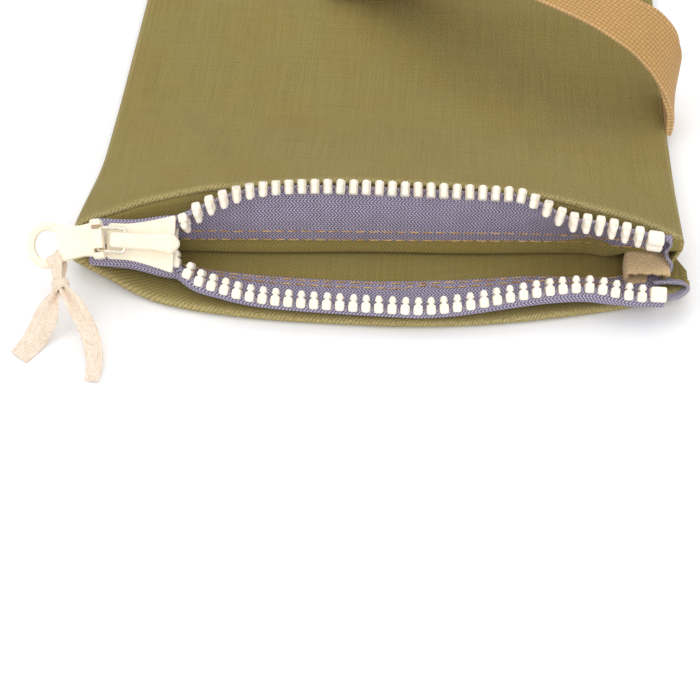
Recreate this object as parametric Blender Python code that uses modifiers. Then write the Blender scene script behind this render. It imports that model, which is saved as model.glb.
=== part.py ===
"""Canvas treat pouch with a chunky moulded zip, lying on its back with the mouth open.

Frame: metres, +Z up. The origin is on the underside, on the middle of the mouth line.
+X runs along the zip towards the strap side, +Y runs from the mouth to the closed end.
"""
import math

import bmesh
import bpy
from mathutils import Matrix, Vector

MM = 0.001

# Pouch body.
HALF_WIDTH = 100.0          # centre line to side seam
DEPTH = 188.0               # mouth line to closed end
CANVAS = 1.0                # thickness of the canvas
GAP = 0.4                   # clearance kept between pieces
LIP_REACH = 18.6            # how far the lower lip stands out in front of the mouth line
LIP_HEIGHT = 3.0            # height of the folded lower lip
HEM_DEPTH = 24.0            # depth of the hem folded inside each lip
SIDE_HEIGHT = 5.6           # thickness of the pouch along its sides
CROWN_HEIGHT = 2.6          # extra height in the middle of the flat part
RAMP_LENGTH = 78.0          # distance in which the open mouth slopes down to the flat part
UPPER_LIP_LEFT = (9.0, 10.0)     # upper lip at the left corner: in from the mouth line, height
UPPER_LIP_MIDDLE = (21.8, 27.5)
UPPER_LIP_RIGHT = (14.0, 15.5)
CORNER_LIFT = 4.6           # how far the left mouth corner stands off the table
RIGHT_CORNER_LIFT = 2.6

# Zip chain.
PITCH = 4.2                 # tooth spacing along one row
TEETH = 42                  # teeth in one row
FIRST_UPPER_X = -89.2
TOOTH_LENGTH = 5.8          # base to tip
TOOTH_WIDTH = 2.7
TOOTH_THICK = 4.6
CORD_INSET = 1.2            # tooth base to the cord that runs through it
CORD_RADIUS = 0.55
ROW_OFFSET = 3.3            # closed chain: middle plane to a cord
TAPE = 0.7                  # thickness of the woven tape
CHAIN_Y, CHAIN_Z = -0.5, 15.2
CHAIN_TILT = math.radians(37.0)
STOP_LENGTH = 5.5

# How the two rows hang open.
SWING = math.radians(88.0)              # upper row, from closed to fully open
SWING_Y, SWING_Z = 15.5, 15.3           # centre that the upper row swings about
LOWER_DROP = (-13.8, -5.4)              # lower row, from closed to fully open

# Slider and pull.
SLIDER_X = -77.5
SLIDER_HALF = 11.0
SLIDER_NARROW = 5.8
SLIDER_FLARED = 9.5
PLATE_INNER = 2.8
PLATE_OUTER = 4.2
FLANGE = 0.9
TAPE_SLOT = 0.75
CAP_HALF_WIDTH = 2.9
CAP_BASE = PLATE_OUTER + GAP
CAP_TOP = 8.9
PIVOT_X = -4.5              # bail pivot, measured from the slider's middle
PIVOT_N = 7.0
BAR_X = -13.2               # bar of the bail inside the tab
BAIL_HALF = 3.8
WIRE_RADIUS = 0.65
TAB_YAW = math.radians(10.0)
TAB_THICK = 3.2
RING_CENTRE = -16.6         # from the bar
RING_TUBE = 1.55

# Strap and ribbon.
STRAP_WIDTH = 20.0
STRAP_THICK = 1.4
STRAP_Y = 86.0
RIBBON_WIDTH = 7.0
RIBBON_THICK = 0.6

ACROSS = Vector((0.0, math.cos(CHAIN_TILT), math.sin(CHAIN_TILT)))
FACING = Vector((0.0, -math.sin(CHAIN_TILT), math.cos(CHAIN_TILT)))
CHAIN = Vector((0.0, CHAIN_Y, CHAIN_Z))


# ---------------------------------------------------------------- scene and materials

for old in list(bpy.data.objects):
    bpy.data.objects.remove(old, do_unlink=True)

parts = bpy.data.collections.new("treat_pouch")
cutters = bpy.data.collections.new("cutters")
bpy.context.scene.collection.children.link(parts)
bpy.context.scene.collection.children.link(cutters)

COLOURS = {
    "canvas": ((0.23, 0.18, 0.055), 0.85, 0.0),
    "tape": ((0.20, 0.18, 0.23), 0.8, 0.0),
    "cream": ((0.88, 0.78, 0.62), 0.35, 0.0),
    "enamel": ((0.90, 0.80, 0.62), 0.3, 0.0),
    "steel": ((0.75, 0.75, 0.75), 0.25, 1.0),
    "webbing": ((0.50, 0.31, 0.12), 0.85, 0.0),
    "binding": ((0.62, 0.42, 0.18), 0.85, 0.0),
    "linen": ((0.80, 0.64, 0.48), 0.9, 0.0),
    "thread": ((0.60, 0.36, 0.12), 0.6, 0.0),
}


def material(name, finish):
    """One Principled material for one part, in one of the pouch's finishes."""
    colour, roughness, metallic = COLOURS[finish]
    made = bpy.data.materials.new(name + "_" + finish)
    made.use_nodes = True
    shader = made.node_tree.nodes["Principled BSDF"]
    shader.inputs["Base Color"].default_value = (*colour, 1.0)
    shader.inputs["Roughness"].default_value = roughness
    shader.inputs["Metallic"].default_value = metallic
    made.diffuse_color = (*colour, 1.0)
    return made


def new_object(name, mesh, finish, origin=Vector()):
    """Link a part whose mesh is given in millimetres around its own origin."""
    mesh.transform(Matrix.Scale(MM, 4))
    made = bpy.data.objects.new(name, mesh)
    made.location = origin * MM
    parts.objects.link(made)
    mesh.materials.append(material(name, finish))
    return made


def cutter(name, mesh):
    """Link a mesh, given in millimetres, as a hidden wire-drawn helper."""
    mesh.transform(Matrix.Scale(MM, 4))
    made = bpy.data.objects.new(name, mesh)
    made.hide_render = True
    made.display_type = "WIRE"
    cutters.objects.link(made)
    return made


def boolean(target, other, operation):
    step = target.modifiers.new(other.name, "BOOLEAN")
    step.operation = operation
    step.object = other
    step.solver = "EXACT"


# ---------------------------------------------------------------- shape helpers

def smooth(start, end, value):
    """0 before start, 1 after end, and an eased ramp between them."""
    t = min(1.0, max(0.0, (value - start) / (end - start)))
    return t * t * (3.0 - 2.0 * t)


def spread(start, end, count):
    """count evenly spaced values from start to end."""
    return [start + (end - start) * i / (count - 1) for i in range(count)]


def grid_mesh(name, rows, keep=lambda row, column: True):
    """An open surface through rows of points, without the cells that keep refuses."""
    bm = bmesh.new()
    verts = [[bm.verts.new(point) for point in row] for row in rows]
    for i in range(len(rows) - 1):
        for j in range(len(rows[0]) - 1):
            if keep(i, j):
                bm.faces.new((verts[i][j], verts[i][j + 1], verts[i + 1][j + 1], verts[i + 1][j]))
    loose = [v for v in bm.verts if not v.link_faces]
    bmesh.ops.delete(bm, geom=loose, context="VERTS")
    bmesh.ops.recalc_face_normals(bm, faces=bm.faces)
    mesh = bpy.data.meshes.new(name)
    bm.to_mesh(mesh)
    bm.free()
    mesh.shade_smooth()
    return mesh


def solidify(target, thickness):
    step = target.modifiers.new("thickness", "SOLIDIFY")
    step.thickness = thickness * MM
    step.offset = 0.0
    step.use_even_offset = True


def sheet(name, rows, thickness, finish, keep=lambda row, column: True):
    """Fabric: an open surface given its thickness."""
    made = new_object(name, grid_mesh(name, rows, keep), finish)
    solidify(made, thickness)
    return made


def flat_ribbon(name, centres, halves, thickness, finish, origin=Vector()):
    """A band along a path; halves run from its middle to its edge."""
    rows = []
    for centre, half in zip(centres, halves):
        rows.append([centre - origin + half * k for k in (-1.0, 0.0, 1.0)])
    made = new_object(name, grid_mesh(name, rows), finish, origin)
    solidify(made, thickness)
    return made


def bezier(a, b, c, d, count):
    """Points along a cubic curve."""
    points = []
    for t in spread(0.0, 1.0, count):
        s = 1.0 - t
        points.append(a * s ** 3 + b * (3 * s * s * t) + c * (3 * s * t * t) + d * t ** 3)
    return points


def prism(outline, low, high, bevel=0.0):
    """A flat outline in X and across, raised from low to high along the facing direction."""
    bm = bmesh.new()
    face = bm.faces.new([bm.verts.new((x, y, low)) for x, y in outline])
    raised = bmesh.ops.extrude_face_region(bm, geom=[face])
    top = [v for v in raised["geom"] if isinstance(v, bmesh.types.BMVert)]
    bmesh.ops.translate(bm, verts=top, vec=(0.0, 0.0, high - low))
    bmesh.ops.recalc_face_normals(bm, faces=bm.faces)
    if bevel:
        upper = [e for e in bm.edges if all(v.co.z > high - 1e-6 for v in e.verts)]
        bmesh.ops.bevel(bm, geom=upper, offset=bevel, segments=2, affect="EDGES")
    mesh = bpy.data.meshes.new("prism")
    bm.to_mesh(mesh)
    bm.free()
    return mesh


def box_mesh(low, high):
    bm = bmesh.new()
    size = [b - a for a, b in zip(low, high)]
    middle = [(a + b) / 2 for a, b in zip(low, high)]
    place = Matrix.Translation(middle) @ Matrix.Diagonal((*size, 1.0))
    bmesh.ops.create_cube(bm, size=1.0, matrix=place)
    mesh = bpy.data.meshes.new("box")
    bm.to_mesh(mesh)
    bm.free()
    return mesh


def rod_mesh(start, end, radius, sides=16):
    """A round bar between two points."""
    bm = bmesh.new()
    along = end - start
    turn = along.to_track_quat("Z", "Y").to_matrix().to_4x4()
    place = Matrix.Translation((start + end) / 2) @ turn
    bmesh.ops.create_cone(bm, cap_ends=True, segments=sides, radius1=radius,
                          radius2=radius, depth=along.length, matrix=place)
    mesh = bpy.data.meshes.new("rod")
    bm.to_mesh(mesh)
    bm.free()
    return mesh


def wire_mesh(points, radius, closed=False, resolution=1):
    """A round wire through the points, as a closed mesh."""
    curve = bpy.data.curves.new("wire", "CURVE")
    curve.dimensions = "3D"
    curve.bevel_depth = radius
    curve.bevel_resolution = resolution
    curve.use_fill_caps = True
    spline = curve.splines.new("POLY")
    spline.points.add(len(points) - 1)
    for slot, point in zip(spline.points, points):
        slot.co = (*point, 1.0)
    spline.use_cyclic_u = closed
    guide = bpy.data.objects.new("wire", curve)
    cutters.objects.link(guide)
    bpy.context.view_layer.update()
    depsgraph = bpy.context.evaluated_depsgraph_get()
    mesh = bpy.data.meshes.new_from_object(guide.evaluated_get(depsgraph))
    bpy.data.objects.remove(guide, do_unlink=True)
    bm = bmesh.new()
    bm.from_mesh(mesh)
    bmesh.ops.remove_doubles(bm, verts=bm.verts, dist=1e-4)
    bmesh.ops.recalc_face_normals(bm, faces=bm.faces)
    bm.to_mesh(mesh)
    bm.free()
    mesh.materials.clear()
    return mesh


def chain_frame(x):
    """Matrix from (along the zip, across it, out of it) to world, in millimetres."""
    turn = Matrix((Vector((1.0, 0.0, 0.0)), ACROSS, FACING)).transposed().to_4x4()
    return Matrix.Translation(CHAIN + Vector((x, 0.0, 0.0))) @ turn


# ---------------------------------------------------------------- the mouth's curves

def lower_lip_y(x):
    """Front edge of the lower lip; it bulges more squarely on the left."""
    power = 4.0 if x < 0 else 1.7
    return -LIP_REACH * (1.0 - min(1.0, abs(x) / HALF_WIDTH) ** power)


def corner_lift(x, y):
    """How far the back panel stands off the table near the mouth corners."""
    left = CORNER_LIFT * smooth(-70.0, -102.0, x)
    right = RIGHT_CORNER_LIFT * smooth(80.0, 100.0, x)
    return (left + right) * (1.0 - smooth(4.0, 46.0, y))


def lip_fullness(x):
    power = 2.0 if x < 0 else 3.2
    return 1.0 - min(1.0, abs(x) / HALF_WIDTH) ** power


def upper_lip(x):
    """Top edge of the front panel at the mouth."""
    full = lip_fullness(x)
    end = UPPER_LIP_LEFT if x < 0 else UPPER_LIP_RIGHT
    return tuple(low + (high - low) * full for low, high in zip(end, UPPER_LIP_MIDDLE))


def upper_hem_y(x):
    """Lower edge of the inner layer of the upper hem."""
    end = 8.0 if x < 0 else 11.5
    return end + (14.6 - end) * lip_fullness(x)


def right_end(x):
    """0 along the zip, 1 where the seam binding comes forward at the right end."""
    return smooth(74.0, 86.0, x)


def upper_open(x):
    """0 where the upper row is still closed, 1 where it hangs fully open."""
    rise = max(0.0, 1.0 - math.exp(-(x + 66.6) / 14.0))
    fall = 1.0 - 0.42 * smooth(42.0, 64.0, x) - 0.26 * smooth(64.0, 98.0, x)
    return rise * fall


def lower_open(x):
    """0 where the lower row is still closed, 1 where it lies fully open."""
    rise = max(0.0, 1.0 - math.exp(-(x + 65.5) / 11.0))
    fall = 1.0 - 0.74 * smooth(10.0, 72.0, x) + 0.16 * smooth(66.0, 86.0, x)
    return rise * fall


def parting(x):
    """How far each row is pushed off the middle inside the slider."""
    inside = smooth(SLIDER_X - 6.0, SLIDER_X + 10.5, x)
    return 2.6 * inside * (1.0 - smooth(SLIDER_X + 12.0, SLIDER_X + 28.0, x))


def upper_row(x):
    """Cord position and tooth direction of the upper row, at rest."""
    angle = -SWING * upper_open(x)
    centre = Vector((x, SWING_Y, SWING_Z))
    closed = CHAIN + ACROSS * (ROW_OFFSET + parting(x)) + Vector((x, 0.0, 0.0))
    turn = Matrix.Rotation(angle, 3, "X")
    return centre + turn @ (closed - centre), turn @ -ACROSS


def lower_row(x):
    """Cord position and tooth direction of the lower row, at rest."""
    share = lower_open(x)
    closed = CHAIN - ACROSS * (ROW_OFFSET + parting(x)) + Vector((x, 0.0, 0.0))
    return closed + Vector((0.0, LOWER_DROP[0], LOWER_DROP[1])) * share, ACROSS.copy()


# ---------------------------------------------------------------- canvas

def flat_height(x, y):
    """Middle of the front panel's canvas over the flat part of the pouch."""
    side = abs(x) / HALF_WIDTH
    crown = CROWN_HEIGHT * (1.0 - min(1.0, side) ** 4)
    taper = smooth(DEPTH, DEPTH - 30.0, y)
    return SIDE_HEIGHT - CANVAS / 2 + crown * taper


def front_height(x, y):
    """Middle of the front panel's canvas, sloping up to the open lip."""
    lip_y, lip_z = upper_lip(x)
    t = min(1.0, max(0.0, (y - lip_y) / RAMP_LENGTH))
    low = flat_height(x, y)
    return low + (lip_z - low) * (1.0 - t) ** 1.7


def back_panel():
    edge, hem_edge = HALF_WIDTH - 0.5, HALF_WIDTH - 2.6
    columns = [-edge, -hem_edge] + spread(-90.0, 90.0, 21) + [hem_edge, edge]
    half = CANVAS / 2
    rows = []
    for y in (DEPTH, 120.0, 60.0, 46.0, 36.0, 26.0, 16.0):
        rows.append([Vector((x, y, half + corner_lift(x, y))) for x in columns])
    flat_rows = len(rows) + 1
    for inset, height in ((9.0, half), (3.0, half), (1.0, 0.7), (0.5, 1.5), (1.1, LIP_HEIGHT - half),
                          (3.4, LIP_HEIGHT - half), (7.0, 2.2), (15.0, 2.1), (HEM_DEPTH, 2.1)):
        row = []
        for x in columns:
            y = lower_lip_y(x) + inset
            row.append(Vector((x, y, height + corner_lift(x, y))))
        rows.append(row)

    def keep(row, column):
        return row < flat_rows or 1 <= column < len(columns) - 2

    return sheet("back_panel", rows, CANVAS, "canvas", keep)


def front_panel():
    flat = spread(-HALF_WIDTH + 1.6, HALF_WIDTH - 1.6, 27)
    wall = HALF_WIDTH - 0.6
    foot = 2.0
    rows = []

    def closed_row(y):
        row = []
        for side in (-1.0, 1.0):
            x = side * wall
            top = front_height(x, y)
            low = foot + corner_lift(x, y)
            ends = [Vector((x, y, low)), Vector((x, y, (low + top - 0.8) / 2))]
            row.append(ends + [Vector((x, y, top - 0.8))])
        middle = [Vector((x, y, front_height(x, y))) for x in flat]
        return row[0] + middle + row[1][::-1]

    for y in (DEPTH, 186.0, 160.0, 130.0, 105.0, 90.0, 76.0, 64.0, 54.0, 45.0, 37.0, 30.0):
        rows.append(closed_row(y))
    for t in (0.45, 0.0):
        row = []
        for side in (-1.0, 1.0):
            x = side * wall
            lip_y, lip_z = upper_lip(x)
            y = lip_y + (30.0 - lip_y) * t
            top = front_height(x, y)
            low = foot + corner_lift(x, y)
            pull = (1.0 - t) * (lip_y - 3.0)
            ends = [Vector((x, y - pull, low + 1.0)), Vector((x, y - 0.7 * pull, (low + top) / 2)),
                    Vector((x, y, top - 0.8))]
            row.append(ends)
        middle = []
        for x in flat:
            lip_y, lip_z = upper_lip(x)
            y = lip_y + (30.0 - lip_y) * t
            middle.append(Vector((x, y, front_height(x, y))))
        rows.append(row[0] + middle + row[1][::-1])
    last_closed = len(rows) - 1
    for down in (0.03, 0.12, 0.40, 0.72, 1.0):
        row = []
        for x in [-wall] * 3 + flat + [wall] * 3:
            lip_y, lip_z = upper_lip(x)
            hem = upper_hem_y(x)
            bottom = 4.8 + corner_lift(x, hem) + 6.6 * right_end(x)
            y = hem + (lip_y - 1.6 - hem) * (1.0 - down)
            z = lip_z - 0.6 - (lip_z - 0.6 - bottom) * down
            row.append(Vector((x, y, z)))
        rows.append(row)
    width = len(rows[0])

    def keep(row, column):
        return row < last_closed or 4 <= column < width - 5

    return sheet("front_panel", rows, CANVAS, "canvas", keep)


def closed_end():
    """The seam that closes the far end, bound like the side seams."""
    rows = []
    for x in spread(-86.0, 86.0, 9):
        rows.append([Vector((x, y, z)) for y, z in ((184.0, 2.0), (176.5, 1.9), (175.6, 2.8),
                                                    (176.5, 3.7), (184.0, 3.6))])
    return sheet("end_seam_binding", rows, 0.6, "binding")


def side_binding(name, side, start_y):
    """Folded tape around the allowance of one side seam, open towards the seam."""
    rows = []
    for y in [start_y, start_y + 8.0] + [y for y in (20.0, 36.0, 50.0, 90.0, 130.0, 172.0)
                                         if y > start_y + 9.0]:
        lift = 4.4 * (1.0 - smooth(20.0, 46.0, y)) + corner_lift(side * 90.0, y) * 0.9
        row = []
        for x, z in ((96.6, 1.9), (86.0, 1.8), (85.0, 2.8), (86.0, 3.8), (96.6, 3.7)):
            row.append(Vector((side * x, y, z + lift)))
        rows.append(row)
    return sheet(name, rows, 0.7, "binding")


# ---------------------------------------------------------------- zip

def lower_tape_point(x, count=9):
    """Section of the lower tape from its sewn edge to the tooth bases."""
    cord, toward = lower_row(x)
    share = lower_open(x)
    lip = lower_lip_y(x)
    edge_y = min(lip + LIP_REACH, upper_hem_y(x) - 3.4)
    edge = Vector((x, edge_y, 3.9 + corner_lift(x, edge_y)))
    base = cord - toward * (CORD_INSET + 2.4 * GAP + 0.3 * parting(x))
    turn_y = edge_y - (edge_y - max(lip, base.y)) * (0.75 + 0.25 * share)
    turn = Vector((x, turn_y, 3.9 + corner_lift(x, turn_y)))
    arrive = base - toward * (7.5 - 5.0 * share) - Vector((0.0, 0.0, 0.9 * share))
    return bezier(edge, turn, arrive, base, count)


def upper_tape_point(x, count=9):
    """Section of the upper tape from its sewn edge to the tooth bases."""
    cord, toward = upper_row(x)
    share = upper_open(x)
    hem = upper_hem_y(x)
    edge = Vector((x, hem - 1.6, 8.3 + 5.2 * right_end(x)))
    base = cord - toward * (CORD_INSET + 2.4 * GAP)
    rise = (base - edge).length * 0.4
    arrive = base - toward * (8.0 * (1.0 - share)) + Vector((0.0, -0.9, -4.0)) * share
    return bezier(edge, edge + Vector((0.0, 0.0, rise)), arrive, base, count)


def tape(name, section):
    near_slider = spread(-67.6, -46.0, 13)
    columns = spread(-95.0, -71.0, 5) + near_slider + spread(-36.0, 42.0, 9) + spread(48.0, 95.0, 10)
    return sheet(name, [section(x) for x in columns], TAPE, "tape")


def tooth_outline():
    """Plan of a tooth: square body, narrow neck, shouldered round head."""
    half = TOOTH_WIDTH / 2
    base = -CORD_INSET
    tip = TOOTH_LENGTH - CORD_INSET
    return [(-half, base), (half, base), (half, 1.4), (0.6, 1.9), (0.6, 2.7),
            (1.0, 3.4), (1.0, 4.2), (0.6, tip), (-0.6, tip), (-1.0, 4.2),
            (-1.0, 3.4), (-0.6, 2.7), (-0.6, 1.9), (-half, 1.4)]


def row_matrix(x, place):
    """Matrix that sets a tooth at x: along the row, towards the other row, and out."""
    here, toward = place(x)
    before, after = place(x - 0.5)[0], place(x + 0.5)[0]
    along = (after - before).normalized()
    along = (along + Vector((1.0, 0.0, 0.0))).normalized()
    toward = (toward - along * toward.dot(along)).normalized()
    out = along.cross(toward)
    turn = Matrix((along, toward, out)).transposed().to_4x4()
    return Matrix.Translation(here) @ turn


def tooth_row(name, place, first_x):
    """All the teeth of one row, moulded onto their cord."""
    plan = prism(tooth_outline(), -TOOTH_THICK / 2, TOOTH_THICK / 2)
    bm = bmesh.new()
    for i in range(TEETH):
        copy = plan.copy()
        copy.transform(row_matrix(first_x + PITCH * i, place))
        bm.from_mesh(copy)
        bpy.data.meshes.remove(copy)
    bmesh.ops.recalc_face_normals(bm, faces=bm.faces)
    mesh = bpy.data.meshes.new(name)
    bm.to_mesh(mesh)
    bm.free()
    row = new_object(name, mesh, "cream")
    ends = spread(first_x - 1.0, first_x + PITCH * (TEETH - 1) + 1.0, 2 * TEETH + 1)
    cord = cutter(name + "_cord", wire_mesh([place(x)[0] for x in ends], CORD_RADIUS))
    boolean(row, cord, "UNION")
    return row


def top_stop(name, place, x):
    """The block moulded at the open end of one row."""
    half = STOP_LENGTH / 2
    outline = [(-half, -CORD_INSET), (half, -CORD_INSET), (half, 3.2), (half - 0.8, 4.2),
               (0.8 - half, 4.2), (-half, 3.2)]
    mesh = prism(outline, -2.7, 2.7)
    mesh.transform(row_matrix(x, place))
    return new_object(name, mesh, "cream")


def bottom_stop():
    """The block that joins the two rows at the closed end of the zip."""
    mesh = box_mesh((-1.6, -4.6, -2.7), (1.6, 4.6, 2.7))
    mesh.transform(chain_frame(-94.6))
    made = new_object("bottom_stop", mesh, "cream")
    rounding = made.modifiers.new("rounding", "BEVEL")
    rounding.width = 0.5 * MM
    rounding.segments = 2
    return made


def stitches(name, section, share, side):
    """One sewn row that holds a tape to its hem, as a thin thread above the tape."""
    points = []
    for x in spread(-90.0, 90.0, 31):
        line = section(x, 13)
        near, far = line[share], line[share + 1]
        along = (far - near).normalized()
        out = along.cross(Vector((1.0, 0.0, 0.0))) * side
        points.append(near + out * (TAPE / 2 + GAP + 0.25))
    return new_object(name, wire_mesh(points, 0.22, resolution=0), "thread")


def seam_thread(name, points):
    return new_object(name, wire_mesh(points, 0.25, resolution=0), "thread")


# ---------------------------------------------------------------- slider

def slider_half_width(x, shrink=0.0):
    """Half width of the slider's plates at x; the sides are concave and then flare."""
    t = min(1.0, max(0.0, (x + 5.0) / (SLIDER_HALF + 5.0)))
    return SLIDER_NARROW + (SLIDER_FLARED - SLIDER_NARROW) * t ** 1.35 - shrink


def slider_outline(shrink=0.0):
    end = SLIDER_HALF
    side = [(x, slider_half_width(x, shrink)) for x in spread(-end + 0.8, end - 1.2, 9)]
    start = [(-end, side[0][1] - 0.8)]
    finish = [(end - 0.4, side[-1][1] + 0.2), (end, side[-1][1] - 0.7)]
    half = start + side + finish
    return half + [(x, -y) for x, y in half[::-1]]


def slider_body():
    """Two plates joined by the diamond that parts the teeth, with tape slots at the sides."""
    top = prism(slider_outline(), -PLATE_OUTER, PLATE_OUTER)
    body = new_object("slider_body", top, "enamel")
    body.matrix_world = chain_frame_metres(SLIDER_X)

    chamber = []
    for x in spread(-SLIDER_HALF - 1.0, SLIDER_HALF + 1.0, 12):
        chamber.append((x, slider_half_width(x, FLANGE)))
    diamond = [(SLIDER_HALF + 1.0, 1.0), (SLIDER_HALF - 2.0, 0.9), (SLIDER_HALF - 5.0, 0.12)]
    outline = chamber + diamond + [(x, -y) for x, y in (chamber + diamond)[::-1]]
    room = cutter("slider_room", prism(outline, -PLATE_INNER, PLATE_INNER))
    room.matrix_world = body.matrix_world
    boolean(body, room, "DIFFERENCE")

    for side in (-1.0, 1.0):
        low, high = sorted((side * 3.5, side * (SLIDER_FLARED + 2.0)))
        reach = SLIDER_HALF + 1.0
        slot = cutter("tape_slot", box_mesh((-reach, low, -TAPE_SLOT), (reach, high, TAPE_SLOT)))
        slot.matrix_world = body.matrix_world
        boolean(body, slot, "DIFFERENCE")

    hole = cutter("claw_hole", box_mesh((-1.7, -0.9, 2.0), (0.1, 0.9, 5.0)))
    hole.matrix_world = body.matrix_world
    boolean(body, hole, "DIFFERENCE")
    return body


def chain_frame_metres(x):
    place = chain_frame(x)
    place.translation = place.translation * MM
    return place


def slider_cap():
    """The long rounded cap over the lock spring, with a nose past the flared end."""
    nose = 12.0
    back = -9.4
    rows = []
    stations = [(back, 0.0), (back + 0.4, 0.62), (back + 1.6, 0.92), (-4.0, 1.0), (6.0, 1.0),
                (8.6, 0.98), (10.4, 0.86), (11.5, 0.62), (nose, 0.0)]
    for x, size in stations:
        row = []
        width = CAP_HALF_WIDTH * max(size, 0.35)
        height = (CAP_TOP - CAP_BASE) * max(size, 0.35)
        for k in range(9):
            angle = math.pi * k / 8
            lift = abs(math.sin(angle)) ** 0.7
            row.append(Vector((x, width * math.cos(angle), CAP_BASE + height * lift)))
        rows.append(row)
    bm = bmesh.new()
    verts = [[bm.verts.new(point) for point in row] for row in rows]
    for i in range(len(rows) - 1):
        for j in range(9):
            a, b = j, (j + 1) % 9
            bm.faces.new((verts[i][a], verts[i][b], verts[i + 1][b], verts[i + 1][a]))
    bm.faces.new(verts[0])
    bm.faces.new(verts[-1][::-1])
    bmesh.ops.recalc_face_normals(bm, faces=bm.faces)
    mesh = bpy.data.meshes.new("slider_cap")
    bm.to_mesh(mesh)
    bm.free()
    mesh.shade_smooth()
    cap = new_object("slider_cap", mesh, "enamel")
    cap.matrix_world = chain_frame_metres(SLIDER_X)

    pocket = cutter("spring_room", box_mesh((-6.9, -1.5, CAP_BASE - 1.0), (8.4, 1.5, 7.9)))
    pocket.matrix_world = cap.matrix_world
    boolean(cap, pocket, "DIFFERENCE")
    ends = (Vector((PIVOT_X, -5.0, PIVOT_N)), Vector((PIVOT_X, 5.0, PIVOT_N)))
    bore = cutter("pivot_bore", rod_mesh(*ends, WIRE_RADIUS + GAP))
    bore.matrix_world = cap.matrix_world
    boolean(cap, bore, "DIFFERENCE")
    return cap


def lock_spring():
    """Leaf under the cap; its claw drops through the top plate towards the teeth."""
    side = [(7.8, 5.0), (7.8, 5.5), (-1.3, 5.5), (-1.3, 3.4), (-0.8, 3.0), (-0.3, 3.4), (-0.3, 5.0)]
    bm = bmesh.new()
    near = [bm.verts.new((x, -0.6, z)) for x, z in side]
    face = bm.faces.new(near)
    raised = bmesh.ops.extrude_face_region(bm, geom=[face])
    far = [v for v in raised["geom"] if isinstance(v, bmesh.types.BMVert)]
    bmesh.ops.translate(bm, verts=far, vec=(0.0, 1.2, 0.0))
    bmesh.ops.recalc_face_normals(bm, faces=bm.faces)
    mesh = bpy.data.meshes.new("lock_spring")
    bm.to_mesh(mesh)
    bm.free()
    hinge = Vector((7.4, 0.0, 5.25))
    mesh.transform(Matrix.Translation(-hinge))
    made = new_object("lock_spring", mesh, "steel")
    place = chain_frame(SLIDER_X) @ Matrix.Translation(hinge)
    place.translation = place.translation * MM
    made.matrix_world = place
    return made


def bail():
    """Closed wire loop: one side turns in the cap, the other in the tab."""
    reach = BAR_X - PIVOT_X
    corner = 1.2
    points = []
    for cx, cy, start in ((-corner, BAIL_HALF - corner, 90), (-corner, corner - BAIL_HALF, 0),
                          (reach + corner, corner - BAIL_HALF, -90),
                          (reach + corner, BAIL_HALF - corner, -180)):
        for k in range(5):
            angle = math.radians(start - 22.5 * k)
            points.append(Vector((cx + corner * math.cos(angle), cy + corner * math.sin(angle), 0)))
    made = new_object("bail", wire_mesh(points, WIRE_RADIUS, closed=True, resolution=1), "steel")
    place = chain_frame(SLIDER_X) @ Matrix.Translation((PIVOT_X, 0.0, PIVOT_N))
    place.translation = place.translation * MM
    made.matrix_world = place
    return made


def tab_frame():
    """The tab's frame on the bail's bar, turned a little in its own plane."""
    turn = Matrix.Rotation(TAB_YAW, 4, "Z")
    return chain_frame(SLIDER_X) @ Matrix.Translation((BAR_X, 0.0, PIVOT_N)) @ turn


def pull_tab():
    """Moulded grip: collar on the bail, waisted body, and a ring at the end."""
    half = TAB_THICK / 2
    body = [(1.2, 5.6), (-1.6, 5.4), (-5.0, 4.9), (-8.0, 5.2), (-11.5, 5.9), (-13.5, 4.6)]
    outline = body + [(x, -y) for x, y in body[::-1]]
    tab = new_object("pull_tab", prism(outline, -half, half), "enamel")
    place = tab_frame()
    place.translation = place.translation * MM
    tab.matrix_world = place

    collar = cutter("tab_collar", box_mesh((-1.9, -6.4, -2.5), (1.7, 6.4, 2.5)))
    rounding = collar.modifiers.new("rounding", "BEVEL")
    rounding.width = 0.7 * MM
    rounding.segments = 2
    collar.matrix_world = tab.matrix_world
    boolean(tab, collar, "UNION")

    loop = []
    for k in range(28):
        angle = 2.0 * math.pi * k / 28
        loop.append(Vector((RING_CENTRE + 5.4 * math.cos(angle), 6.2 * math.sin(angle), 0.0)))
    ring = cutter("tab_ring", wire_mesh(loop, RING_TUBE, closed=True, resolution=2))
    ring.matrix_world = tab.matrix_world
    boolean(tab, ring, "UNION")

    eye = []
    for k in range(24):
        angle = 2.0 * math.pi * k / 24
        eye.append((RING_CENTRE + 4.2 * math.cos(angle), 4.8 * math.sin(angle)))
    opening = cutter("ring_opening", prism(eye, -4.0, 4.0))
    opening.matrix_world = tab.matrix_world
    boolean(tab, opening, "DIFFERENCE")

    for side in (-1.0, 1.0):
        low, high = sorted((side * 1.9, side * 5.2))
        pocket = cutter("wire_pocket", box_mesh((-1.35, low, -1.3), (4.0, high, 3.2)))
        pocket.matrix_world = tab.matrix_world
        boolean(tab, pocket, "DIFFERENCE")
    slot = cutter("bar_slot", box_mesh((-1.35, -2.5, -1.2), (1.2, 2.5, 1.2)))
    slot.matrix_world = tab.matrix_world
    boolean(tab, slot, "DIFFERENCE")
    return tab


# ---------------------------------------------------------------- ribbon and strap

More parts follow.
